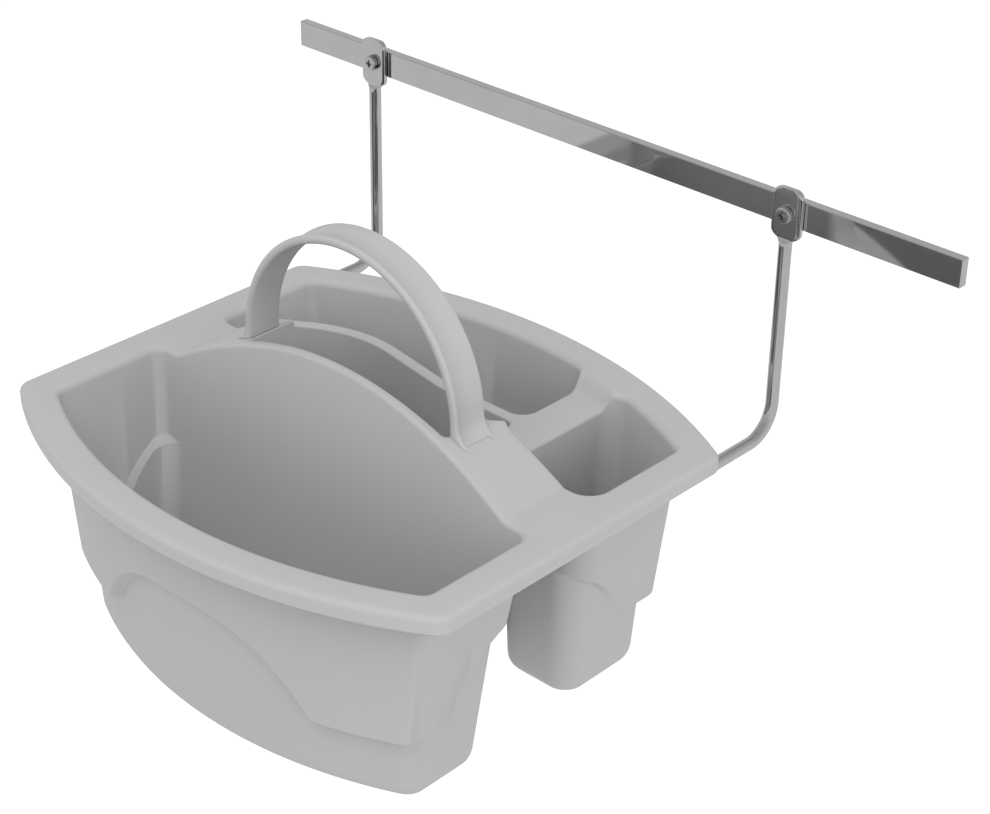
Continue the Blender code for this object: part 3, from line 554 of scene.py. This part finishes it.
def left_bin(fine):
    rib = [straight((-n[0], -n[1]), -d - RIB_WIDTH, INNER_DRAFT, 0.0, 0.0012, steps)
           for (n, d), steps in zip(rib_sides(), (5, 4, 2))]
    sides = [straight((1.0, 0.0), BAY_X, 0.0, 0.0, 0.0025, steps=4),
             bowed(1, BOW_INSET, BOW_DRAFT, BOW_STEP_INSET, steps=10),
             straight((-1.0, 0.0), INNER_X, SIDE_DRAFT, SIDE_STEP_INSET, steps=3), *rib[::-1]]
    rib_radii = [0.006, -RIB_BEND - RIB_WIDTH, RIB_FLARE - RIB_WIDTH, 0.012]
    return outline(sides, [0.014, BIN_CORNER, *rib_radii], [0.014, LOW_CORNER, *rib_radii], fine, 3)


def left_pocket(fine):
    """Outside of the bay and the rear-left bin together."""
    sides = [straight((0.0, -1.0), -STEM_FRONT_Y, INNER_DRAFT, 0.0, steps=8),
             straight((1.0, 0.0), STEM_X, INNER_DRAFT, 0.0, steps=3),
             straight((0.0, 1.0), DIVIDER_FRONT_Y, INNER_DRAFT, 0.0, steps=3),
             straight((1.0, 0.0), BAY_X, 0.0, 0.0, steps=6),
             bowed(1, BOW_INSET, BOW_DRAFT, BOW_STEP_INSET, steps=10),
             straight((-1.0, 0.0), INNER_X, SIDE_DRAFT, SIDE_STEP_INSET, steps=5),
             straight((0.0, -1.0), -BAY_FRONT_Y, INNER_DRAFT, 0.0, steps=5),
             straight((-1.0, 0.0), STEM_X, INNER_DRAFT, 0.0, steps=3)]
    radii = [0.004, 0.004, -0.0055, 0.014, BIN_CORNER, 0.010, -0.0055, 0.004]
    low_radii = [0.004, 0.004, -0.0055, 0.014, LOW_CORNER, 0.010, -0.0055, 0.004]
    return outline(sides, radii, low_radii, fine, 3)


def rim_outline(fine):
    sides = [straight((1.0, 0.0), HALF, steps=5), bowed(1, 0.0, steps=18),
             straight((-1.0, 0.0), HALF, steps=5), bowed(-1, 0.0, steps=18)]
    return outline(sides, [RIM_CORNER] * 4, [RIM_CORNER] * 4, fine)


def web_points(fine):
    """Points that carry the curve of the web between its edges."""
    points = []
    count = 8 * fine
    for step in range(count + 1):
        x = blend(STEM_X + 0.004, WEB_HALF + 0.002, step / count)
        for y in (-0.015, -0.003, 0.009, 0.019):
            points += [(x, y), (-x, y)]
    return points


def divider_points(fine):
    """Points that carry the fillets of the divider and the rib ends."""
    points = []
    count = 5 * fine
    middle = (BAY_X + POCKET_X) / 2
    for share in (-0.3, 0.0, 0.3):
        x = middle + share * DIVIDER_WIDTH
        rear = rear_wall_y(x)
        for step in range(count + 1):
            points.append((x, blend(rear - 0.016, rear - 0.002, step / count)))
        points.append((x, 0.040))
    return points


# ---------------------------------------------------------------- rim rests on the rod
def rest_rings(skin):
    """Pads under both short sides that sit on the rod with shallow seats."""
    rings = []
    inner, outer = INNER_X + WALL + 0.0015, HALF - WALL - 0.0015
    seat_in, seat_out = ROD_X - ROD_RADIUS - GAP, ROD_X + ROD_RADIUS + GAP
    seat_z = -ROD_DROP + ROD_RADIUS + GAP
    prong_z = seat_z - 0.0025
    for side in (-1.0, 1.0):
        for share in (-0.62, -0.22, 0.18, 0.58):
            y = share * SIDE_HALF
            xs = [inner, seat_in - 0.0004, seat_in, seat_out, seat_out + 0.0004, outer]
            zs = [prong_z, prong_z, seat_z, seat_z, prong_z, prong_z]
            low = [(side * x, y - 0.0018, z) for x, z in zip(xs, zs)]
            high = [(side * x, y + 0.0018, z) for x, z in zip(xs, zs)]
            foot = [(side * (x + shift), y - 0.0026, -WALL - 0.0002)
                    for x, shift in zip(xs, (-0.0006, 0.0, 0.0, 0.0, 0.0, 0.0006))]
            back = [(side * (x + shift), y + 0.0026, -WALL - 0.0002)
                    for x, shift in zip(xs, (-0.0006, 0.0, 0.0, 0.0, 0.0, 0.0006))]
            base = skin.ring(foot + back[::-1])
            tip = skin.ring(low + high[::-1])
            skin.band(base, tip)
            for i in range(5):
                skin.faces.append((tip[i], tip[i + 1], tip[10 - i], tip[11 - i]))
            rings.append(base)
    return rings


def tub_skin(fine=1, arc_steps=2):
    skin = Skin()
    samples = rim_outline(fine)
    rings = []
    for step in range(arc_steps + 1):
        turn = 0.5 * math.pi * step / arc_steps
        rings.append(skin.ring([moved(s, -RIM_ROUND * (1.0 - math.sin(turn)),
                                      -RIM_ROUND * (1.0 - math.cos(turn)))
                                for s in samples]))
    for out, z in ((0.0, -LIP_DEPTH), (-WALL + 0.0003, -LIP_DEPTH), (-WALL, -WALL - 0.0002)):
        rings.append(skin.ring([moved(s, out, z) for s in samples]))
    for first, second in zip(rings, rings[1:]):
        skin.band(first, second)
    mouths = [bin_inside(skin, shape(fine), size, arc_steps)
              for shape, size in ((front_bin, FLOOR_ROUND), (right_bin, FLOOR_ROUND),
                                  (bay, BAY_FLOOR_ROUND), (left_bin, BAY_FLOOR_ROUND))]
    bases = [bin_outside(skin, shape(fine), size, arc_steps)
             for shape, size in ((front_bin, FLOOR_ROUND), (right_bin, FLOOR_ROUND),
                                 (left_pocket, BAY_FLOOR_ROUND))]
    skin.sheet([rings[0]] + mouths, top_height, web_points(fine) + divider_points(fine))
    rests = rest_rings(skin)
    skin.sheet([rings[-1]] + bases + rests, under_height, web_points(fine))
    return skin


# ---------------------------------------------------------------- arch handle
def handle_section():
    """Strap section: across the strap and outwards from its inside face."""
    half, lip, edge = HANDLE_WIDTH / 2, HANDLE_LIP, HANDLE_LIP_WIDTH
    top = HANDLE_THICK
    soft = 0.0012
    return [(-half + soft, 0.0), (half - soft, 0.0), (half, soft), (half, top - soft),
            (half - soft, top), (half - edge, top), (half - edge - 0.001, top - lip),
            (-half + edge + 0.001, top - lip), (-half + edge, top), (-half + soft, top),
            (-half, top - soft), (-half, soft)]


def foot_height(x):
    return web_height(x) + GAP


def flare(rise):
    """How far a foot's outer face stands out at this height above the web."""
    left = 1.0 - min(1.0, max(0.0, rise / FOOT_FILLET))
    return FOOT_FILLET * (1.0 - math.sqrt(1.0 - left * left))


def outer_share(t):
    """Part of the flare taken by a section point: none inside, all of it outside."""
    return max(0.0, t - FOOT_INNER_SKIN) / (HANDLE_THICK - FOOT_INNER_SKIN)


def handle_skin(fine=1):
    """Half-round arch with straight feet whose outer faces flare onto the web."""
    skin = Skin()
    section = handle_section()
    inner = HANDLE_RADIUS - HANDLE_THICK
    low = foot_height(HANDLE_RADIUS)
    arc_count = 28 * fine
    leg_count = 4 * fine
    legs = []
    for side in (1.0, -1.0):
        shares = [1.0 - math.cos(0.5 * math.pi * step / leg_count) for step in range(leg_count)]
        legs.append([[foot_point(side, u, t, low, share) for u, t in section] for share in shares])
    arch = []
    for step in range(arc_count + 1):
        angle = math.pi * step / arc_count
        side = 1.0 if step * 2 <= arc_count else -1.0
        ring = []
        for u, t in section:
            z = HANDLE_CENTRE_Z + (inner + t) * math.sin(angle)
            out = side * flare(z - low) * outer_share(t)
            ring.append(((inner + t) * math.cos(angle) + out, u, z))
        arch.append(ring)
    order = legs[0] + arch + legs[1][::-1]
    rings = [skin.ring(points) for points in order]
    for first, second in zip(rings, rings[1:]):
        skin.band(first, second)
    plugs(skin, rings[0], order[0], 1.0, inner)
    plugs(skin, rings[-1], order[-1], -1.0, inner)
    return skin


def foot_point(side, u, t, low, share):
    """One point of a foot; its lowest ring follows the slope of the web."""
    rise = (HANDLE_CENTRE_Z - low) * share
    x = HANDLE_RADIUS - HANDLE_THICK + t + flare(rise) * outer_share(t)
    floor = foot_height(x)
    return (side * x, u, max(blend(floor, low, share) + rise, floor))


def plugs(skin, ring, points, side, inner):
    """Close the foot and add the tongue that passes through the web."""
    half = PLUG_WIDTH / 2
    x_in, x_out = inner + 0.0012, inner + HANDLE_THICK - 0.0012
    corners = [(x_in, -half), (x_in, half), (x_out, half), (x_out, -half)]
    top = skin.ring([(side * x, y, foot_height(x)) for x, y in corners])
    low = skin.ring([(side * x, y, foot_height(x) - PLUG_DEPTH) for x, y in corners])
    skin.band(top, low)
    skin.faces.append(tuple(low))
    skin.sheet([ring, top], lambda x, y: foot_height(abs(x)))


# ---------------------------------------------------------------- hanger rod
def rod_path(fine):
    """Centre line of the right half: eye, upright, bend, side leg and front bow."""
    low = -ROD_DROP
    tab_low = EYE_HEIGHT - TAB_HEIGHT / 2
    path = [(ROD_X, ROD_Y, tab_low - TAB_SHOULDER - 0.002)]
    upright_end = low + ROD_BEND
    path.append((ROD_X, ROD_Y, upright_end))
    steps = 6 * fine
    for step in range(1, steps + 1):
        turn = 0.5 * math.pi * step / steps
        path.append((ROD_X, ROD_Y - ROD_BEND * (1.0 - math.cos(turn)),
                     upright_end - ROD_BEND * math.sin(turn)))
    for share in (0.75, 0.5, 0.25):
        path.append((ROD_X, blend(-SIDE_HALF * 0.8, ROD_Y - ROD_BEND, share), low))
    centre_y, radius = bow_circle(FRONT_BOW, -1)
    reach = radius - ROD_INSET
    bend_x = ROD_X - BOW_BEND
    bend_y = centre_y - math.sqrt((reach - BOW_BEND) ** 2 - bend_x ** 2)
    last = math.atan2(bend_y - centre_y, bend_x)
    for step in range(steps + 1):
        turn = last * step / steps
        path.append((bend_x + BOW_BEND * math.cos(turn), bend_y + BOW_BEND * math.sin(turn), low))
    count = 10 * fine
    for step in range(1, count + 1):
        angle = blend(last, -math.pi / 2, step / count)
        path.append((reach * math.cos(angle), centre_y + reach * math.sin(angle), low))
    return [Vector(p) for p in path]


def round_ring(centre, along, across, sides):
    """Circle round a path point; 'across' is carried from ring to ring to avoid twist."""
    third = along.cross(across).normalized()
    return [centre + (across * math.cos(2.0 * math.pi * i / sides)
                      + third * math.sin(2.0 * math.pi * i / sides)) * ROD_RADIUS
            for i in range(sides)]


def tab_ring(z, wide, thick, sides, power):
    """Flattened section at height z on the right upright."""
    points = []
    for i in range(sides):
        angle = 2.0 * math.pi * i / sides
        c, s = math.cos(angle), math.sin(angle)
        size = (abs(c) ** power + abs(s) ** power) ** (-1.0 / power)
        points.append(Vector((ROD_X - s * size * wide / 2, ROD_Y - c * size * thick / 2, z)))
    return points


def eye_rings(sides, fine):
    """Flattened end with rounded corners and the short collar down to the round rod."""
    top = EYE_HEIGHT + TAB_HEIGHT / 2
    low = EYE_HEIGHT - TAB_HEIGHT / 2
    rings = []
    steps = 3 * fine
    for end, sign in ((top, -1.0), (low, 1.0)):
        turns = [0.5 * math.pi * step / steps for step in range(1, steps + 1)]
        corner = [(end + sign * TAB_CORNER * (1.0 - math.cos(turn)),
                   TAB_WIDTH - 2.0 * TAB_CORNER * (1.0 - math.sin(turn))) for turn in turns]
        for z, wide in (corner if sign < 0.0 else corner[::-1]):
            rings.append(tab_ring(z, wide, TAB_THICK, sides, TAB_POWER))
    wide = TAB_WIDTH - 2.0 * TAB_CORNER
    for share in (0.2, 0.6, 1.0):
        ease = smooth(share)
        rings.append(tab_ring(low - TAB_SHOULDER * share, blend(wide, ROD_DIAMETER, ease),
                              blend(TAB_THICK, ROD_DIAMETER, ease), sides,
                              blend(TAB_POWER, 2.0, ease)))
    return rings


def rod_skin(fine=1, sides=16):
    skin = Skin()
    path = rod_path(fine)
    across = Vector((0.0, -1.0, 0.0))
    half = eye_rings(sides, fine)
    for index, point in enumerate(path):
        before = path[max(0, index - 1)]
        after = path[min(len(path) - 1, index + 1)]
        along = (after - before).normalized()
        if index == len(path) - 1:
            along = Vector((-1.0, 0.0, 0.0))
        across = (across - along * across.dot(along)).normalized()
        half.append(round_ring(point, along, across, sides))
    mirrored = [[Vector((-p.x, p.y, p.z)) for p in ring] for ring in half[:-1]]
    rings = [skin.ring(r) for r in half] + [skin.ring(r) for r in mirrored[::-1]]
    for first, second in zip(rings, rings[1:]):
        skin.band(first, second)
    skin.faces.append(tuple(rings[0]))
    skin.faces.append(tuple(rings[-1]))
    return skin


# ---------------------------------------------------------------- screws
def turned(profile, x, sides):
    """Closed turned body round the screw's axis; profile holds radius and depth pairs."""
    skin = Skin()
    face_y = ROD_Y - TAB_THICK / 2 - GAP
    rings = []
    for radius, depth in profile:
        rings.append(skin.ring([(x + radius * math.cos(2.0 * math.pi * i / sides), face_y + depth,
                                 EYE_HEIGHT + radius * math.sin(2.0 * math.pi * i / sides))
                                for i in range(sides)]))
    for first, second in zip(rings, rings[1:]):
        skin.band(first, second)
    skin.faces.append(tuple(rings[0]))
    skin.faces.append(tuple(rings[-1]))
    return skin


def screw_skin(x, sides=64):
    """Pan head with a rounded shoulder and its shank."""
    head = HEAD_DIAMETER / 2
    shank = SCREW_DIAMETER / 2
    shoulder = 0.0008
    steps = 8
    profile = [(0.45 * head, -HEAD_HEIGHT), (0.75 * head, -HEAD_HEIGHT * 0.99)]
    for step in range(steps + 1):
        turn = 0.5 * math.pi * step / steps
        profile.append((head - shoulder * (1.0 - math.sin(turn)),
                        -HEAD_HEIGHT * 0.975 + shoulder * (1.0 - math.cos(turn))))
    profile += [(head, -0.0002), (head - 0.0002, 0.0), (shank, 0.0),
                (shank, RAIL_BACK_Y - 0.0012 - (ROD_Y - TAB_THICK / 2 - GAP)),
                (shank - 0.0003, RAIL_BACK_Y - 0.0010 - (ROD_Y - TAB_THICK / 2 - GAP))]
    return turned(profile, x, sides)


def cross_skin(x):
    """Four-armed driver recess of a screw head."""
    skin = Skin()
    arm, half, inner = 0.0027, 0.00055, 0.0011
    face = ROD_Y - TAB_THICK / 2 - GAP - HEAD_HEIGHT
    plan = []
    for quarter in range(4):
        turn = 0.5 * math.pi * quarter
        for reach, off in ((arm, -half), (arm, half), (inner, inner)):
            plan.append((reach * math.cos(turn) - off * math.sin(turn),
                         reach * math.sin(turn) + off * math.cos(turn)))
    rings = []
    for y, size in ((face - 0.001, 1.15), (face + 0.0019, 0.75)):
        rings.append(skin.ring([(x + px * size, y, EYE_HEIGHT + pz * size) for px, pz in plan]))
    skin.band(rings[0], rings[1])
    skin.faces.append(tuple(rings[0]))
    skin.faces.append(tuple(rings[1]))
    return skin


def hole_skin(x, y_from, y_to, sides=48):
    skin = Skin()
    radius = SCREW_DIAMETER / 2 + HOLE_PLAY
    ends = [skin.ring([(x + radius * math.cos(2.0 * math.pi * i / sides), y,
                        EYE_HEIGHT + radius * math.sin(2.0 * math.pi * i / sides))
                       for i in range(sides)]) for y in (y_from, y_to)]
    skin.band(ends[0], ends[1])
    skin.faces.append(tuple(ends[0]))
    skin.faces.append(tuple(ends[1]))
    return skin


# ---------------------------------------------------------------- node helpers
def shader_of(name):
    made = bpy.data.materials.new(name)
    made.use_nodes = True
    tree = made.node_tree
    return made, tree, tree.nodes["Principled BSDF"]


def object_coordinates(tree, stretch=(1.0, 1.0, 1.0)):
    coordinates = tree.nodes.new("ShaderNodeTexCoord")
    mapping = tree.nodes.new("ShaderNodeMapping")
    mapping.inputs["Scale"].default_value = stretch
    tree.links.new(coordinates.outputs["Object"], mapping.inputs["Vector"])
    return mapping.outputs["Vector"]


def noise(tree, vector, scale, detail=3.0, rough=0.5, distortion=0.0):
    node = tree.nodes.new("ShaderNodeTexNoise")
    node.inputs["Scale"].default_value = scale
    node.inputs["Detail"].default_value = detail
    node.inputs["Roughness"].default_value = rough
    node.inputs["Distortion"].default_value = distortion
    tree.links.new(vector, node.inputs["Vector"])
    return node.outputs["Fac"]


def remap(tree, value, from_low, from_high, to_low, to_high):
    node = tree.nodes.new("ShaderNodeMapRange")
    node.inputs["From Min"].default_value = from_low
    node.inputs["From Max"].default_value = from_high
    node.inputs["To Min"].default_value = to_low
    node.inputs["To Max"].default_value = to_high
    tree.links.new(value, node.inputs["Value"])
    return node.outputs["Result"]


def combine(tree, operation, first, second):
    node = tree.nodes.new("ShaderNodeMath")
    node.operation = operation
    for socket, value in zip(node.inputs, (first, second)):
        if isinstance(value, float):
            socket.default_value = value
        else:
            tree.links.new(value, socket)
    return node.outputs["Value"]


def shade(tree, colour, value):
    """The colour multiplied by a value that stays close to one."""
    node = tree.nodes.new("ShaderNodeVectorMath")
    node.operation = "SCALE"
    node.inputs[0].default_value = colour
    tree.links.new(value, node.inputs["Scale"])
    return node.outputs["Vector"]


def bump(tree, height, strength, distance, below=None):
    node = tree.nodes.new("ShaderNodeBump")
    node.inputs["Strength"].default_value = strength
    node.inputs["Distance"].default_value = distance
    tree.links.new(height, node.inputs["Height"])
    if below is not None:
        tree.links.new(below, node.inputs["Normal"])
    return node.outputs["Normal"]


# ---------------------------------------------------------------- materials
def moulded_plastic(name, colour, offset):
    """Satin injection-moulded plastic: spark-eroded grain, flow clouding, rubbed edges, scuffs."""
    made, tree, shader = shader_of(name)
    vector = object_coordinates(tree)
    cloud = noise(tree, vector, 7.0 + offset, 2.0, 0.45)
    grain = noise(tree, vector, 2600.0, 2.0, 0.6)
    pores = noise(tree, vector, 900.0, 3.0, 0.55)
    scuff_lines = noise(tree, object_coordinates(tree, (26.0, 9.0, 60.0)), 6.0, 4.0, 0.65, 0.8)
    scuffs = remap(tree, scuff_lines, 0.66, 0.74, 0.0, 1.0)
    geometry = tree.nodes.new("ShaderNodeNewGeometry")
    worn = remap(tree, geometry.outputs["Pointiness"], 0.53, 0.62, 0.0, 1.0)
    tone = remap(tree, cloud, 0.3, 0.7, 0.982, 1.018)
    tone = combine(tree, "ADD", tone, combine(tree, "MULTIPLY", worn, 0.035))
    tone = combine(tree, "ADD", tone, combine(tree, "MULTIPLY", scuffs, 0.012))
    tree.links.new(shade(tree, colour, tone), shader.inputs["Base Color"])
    rough = remap(tree, pores, 0.3, 0.7, 0.40, 0.50)
    rough = combine(tree, "SUBTRACT", rough, combine(tree, "MULTIPLY", worn, 0.07))
    rough = combine(tree, "SUBTRACT", rough, combine(tree, "MULTIPLY", scuffs, 0.05))
    tree.links.new(rough, shader.inputs["Roughness"])
    fine = bump(tree, grain, 0.12, 0.00012)
    tree.links.new(bump(tree, pores, 0.10, 0.00018, fine), shader.inputs["Normal"])
    shader.inputs["IOR"].default_value = 1.49
    shader.inputs["Specular IOR Level"].default_value = 0.42
    return made


def plated(name, colour, rough_low, rough_high, stretch, scratch):
    """Bright plating with faint polishing lines and handling haze."""
    made, tree, shader = shader_of(name)
    shader.inputs["Metallic"].default_value = 1.0
    vector = object_coordinates(tree)
    haze = noise(tree, vector, 34.0, 4.0, 0.55)
    lines = noise(tree, object_coordinates(tree, stretch), 420.0, 3.0, 0.6)
    tone = remap(tree, haze, 0.3, 0.75, 1.03, 0.95)
    tree.links.new(shade(tree, colour, tone), shader.inputs["Base Color"])
    rough = remap(tree, haze, 0.3, 0.75, rough_low, rough_high)
    tree.links.new(rough, shader.inputs["Roughness"])
    tree.links.new(bump(tree, lines, scratch, 0.00003), shader.inputs["Normal"])
    return made


def plain(name, colour, roughness, glow=0.0):
    made, _, shader = shader_of(name)
    shader.inputs["Base Color"].default_value = (*colour, 1.0)
    shader.inputs["Roughness"].default_value = roughness
    shader.inputs["Specular IOR Level"].default_value = 0.0
    shader.inputs["Emission Color"].default_value = (1.0, 1.0, 1.0, 1.0)
    shader.inputs["Emission Strength"].default_value = glow
    return made


PLASTIC = (0.520, 0.520, 0.517)
CHROME = (0.500, 0.507, 0.510)
SCREW_METAL = (0.47, 0.475, 0.475)


# ---------------------------------------------------------------- pieces
def piece(name, skin, surface, angle=38.0):
    """Closed mesh object in the rail's frame, smooth except at real edges."""
    mesh = bpy.data.meshes.new(name)
    mesh.from_pydata([Vector(p) + TUB_SHIFT for p in skin.points], [], skin.faces)
    shape = bmesh.new()
    shape.from_mesh(mesh)
    bmesh.ops.remove_doubles(shape, verts=shape.verts, dist=1e-6)
    bmesh.ops.recalc_face_normals(shape, faces=shape.faces)
    if shape.calc_volume(signed=True) < 0:
        bmesh.ops.reverse_faces(shape, faces=shape.faces)
    shape.to_mesh(mesh)
    shape.free()
    mesh.shade_smooth()
    mesh.set_sharp_from_angle(angle=math.radians(angle))
    mesh.materials.append(surface)
    made = bpy.data.objects.new(name, mesh)
    bpy.context.scene.collection.objects.link(made)
    return made


def carve(target, skin, surface):
    """Take a solid away from a piece and keep the result as its mesh."""
    tool = piece(target.name + "_cut", skin, surface)
    cut = target.modifiers.new("cut", "BOOLEAN")
    cut.operation = "DIFFERENCE"
    cut.solver = "EXACT"
    cut.object = tool
    bpy.context.view_layer.update()
    depsgraph = bpy.context.evaluated_depsgraph_get()
    result = bpy.data.meshes.new_from_object(target.evaluated_get(depsgraph))
    target.modifiers.remove(cut)
    target.data = result
    bpy.data.objects.remove(tool, do_unlink=True)


def make_tub(surface):
    tub = piece("tub_body", tub_skin(3, 6), surface)
    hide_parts("tub")
    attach(tub, "caddy")


def make_handle(surface):
    handle = piece("arch_handle", handle_skin(3), surface, 50.0)
    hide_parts("handle")
    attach(handle, "caddy")


def make_rod(surface):
    rod = piece("bent_rod", rod_skin(3, 48), surface)
    for x in (-ROD_X, ROD_X):
        carve(rod, hole_skin(x, ROD_Y - 0.006, ROD_Y + 0.006), surface)
    rod.data.set_sharp_from_angle(angle=math.radians(38.0))
    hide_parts("hanger_rod")
    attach(rod, "hanger")


def make_screws(surface):
    for tag, x in (("left", -ROD_X), ("right", ROD_X)):
        screw = piece("pan_head_screw_" + tag, screw_skin(x), surface)
        carve(screw, cross_skin(x), surface)
        screw.data.set_sharp_from_angle(angle=math.radians(38.0))
        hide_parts("screw_" + tag)
        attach(screw, "hanger")


def dress_rail(surface):
    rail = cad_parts["rail"]
    rail.data.materials.clear()
    rail.data.materials.append(surface)


# ---------------------------------------------------------------- studio
VIEW_AZIMUTH = math.radians(42.559)
VIEW_ELEVATION = math.radians(29.701)
VIEW_ROLL = math.radians(0.874)
VIEW_DISTANCE = 1.1838
VIEW_TARGET = Vector((0.19796, -0.28918, -0.01255))
VIEW_LENS = 82.32
FLOOR_Z = -0.85


def place_camera():
    data = bpy.data.cameras.new("camera")
    data.sensor_width = 36.0
    data.lens = VIEW_LENS
    data.clip_start = 0.01
    camera = bpy.data.objects.new("camera", data)
    back = Vector((math.sin(VIEW_AZIMUTH) * math.cos(VIEW_ELEVATION),
                   -math.cos(VIEW_AZIMUTH) * math.cos(VIEW_ELEVATION), math.sin(VIEW_ELEVATION)))
    side = Vector((0.0, 0.0, 1.0)).cross(back).normalized()
    up = back.cross(side)
    right = side * math.cos(VIEW_ROLL) + up * math.sin(VIEW_ROLL)
    top = up * math.cos(VIEW_ROLL) - side * math.sin(VIEW_ROLL)
    matrix = Matrix((right, top, back)).transposed().to_4x4()
    matrix.translation = VIEW_TARGET + back * VIEW_DISTANCE
    camera.matrix_world = matrix
    bpy.context.scene.collection.objects.link(camera)
    bpy.context.scene.camera = camera


def flat_card(name, centre, size, surface, turn=(0.0, 0.0, 0.0)):
    mesh = bpy.data.meshes.new(name)
    x, y = size[0] / 2, size[1] / 2
    mesh.from_pydata([(-x, -y, 0.0), (x, -y, 0.0), (x, y, 0.0), (-x, y, 0.0)], [], [(0, 1, 2, 3)])
    mesh.materials.append(surface)
    card = bpy.data.objects.new(name, mesh)
    card.location = centre
    card.rotation_euler = turn
    bpy.context.scene.collection.objects.link(card)
    return card


def soft_light(name, place, aim, size, power):
    data = bpy.data.lights.new(name, "AREA")
    data.shape = "DISK"
    data.size = size
    data.energy = power
    light = bpy.data.objects.new(name, data)
    light.location = place
    light.rotation_euler = (Vector(aim) - Vector(place)).to_track_quat("-Z", "Y").to_euler()
    light.visible_glossy = False
    bpy.context.scene.collection.objects.link(light)


def build_world():
    """Even pale surroundings, brighter at the horizon than overhead."""
    world = bpy.data.worlds.new("studio")
    bpy.context.scene.world = world
    world.use_nodes = True
    tree = world.node_tree
    coordinates = tree.nodes.new("ShaderNodeTexCoord")
    split = tree.nodes.new("ShaderNodeSeparateXYZ")
    ramp = tree.nodes.new("ShaderNodeValToRGB")
    ramp.color_ramp.elements[0].position = 0.0
    ramp.color_ramp.elements[0].color = (0.82, 0.82, 0.82, 1.0)
    ramp.color_ramp.elements[1].position = 0.75
    ramp.color_ramp.elements[1].color = (0.52, 0.52, 0.52, 1.0)
    tree.links.new(coordinates.outputs["Generated"], split.inputs["Vector"])
    tree.links.new(split.outputs["Z"], ramp.inputs["Fac"])
    tree.links.new(ramp.outputs["Color"], tree.nodes["Background"].inputs["Color"])


def build_studio():
    build_world()
    floor = flat_card("floor", (0.0, 0.0, FLOOR_Z), (40.0, 40.0),
                      plain("floor_white", (0.93, 0.93, 0.93), 0.9, 0.45))
    floor.visible_diffuse = False
    floor.visible_glossy = False
    dark = flat_card("dark_card", (-0.30, -1.75, FLOOR_Z + 0.01), (1.7, 1.5),
                     plain("card_grey", (0.09, 0.09, 0.09), 0.9))
    dark.visible_camera = False
    dark.visible_diffuse = False
    dark.visible_shadow = False
    soft_light("key", (0.6, -1.6, 2.6), (0.0, -0.2, -0.2), 2.6, 40.0)
    soft_light("fill", (2.4, -0.6, 1.0), (0.0, -0.2, -0.2), 2.0, 11.0)


# ---------------------------------------------------------------- all together
bpy.context.scene.view_settings.view_transform = "Standard"
build_studio()
place_camera()
make_tub(moulded_plastic("tub_grain", PLASTIC, 0.0))
make_handle(moulded_plastic("handle_grain", PLASTIC, 1.5))
make_rod(plated("rod_plating", CHROME, 0.05, 0.10, (1.0, 1.0, 0.04), 0.03))
dress_rail(plated("rail_plating", CHROME, 0.03, 0.07, (0.03, 1.0, 1.0), 0.02))
make_screws(plated("screw_plating", SCREW_METAL, 0.12, 0.20, (1.0, 1.0, 1.0), 0.05))
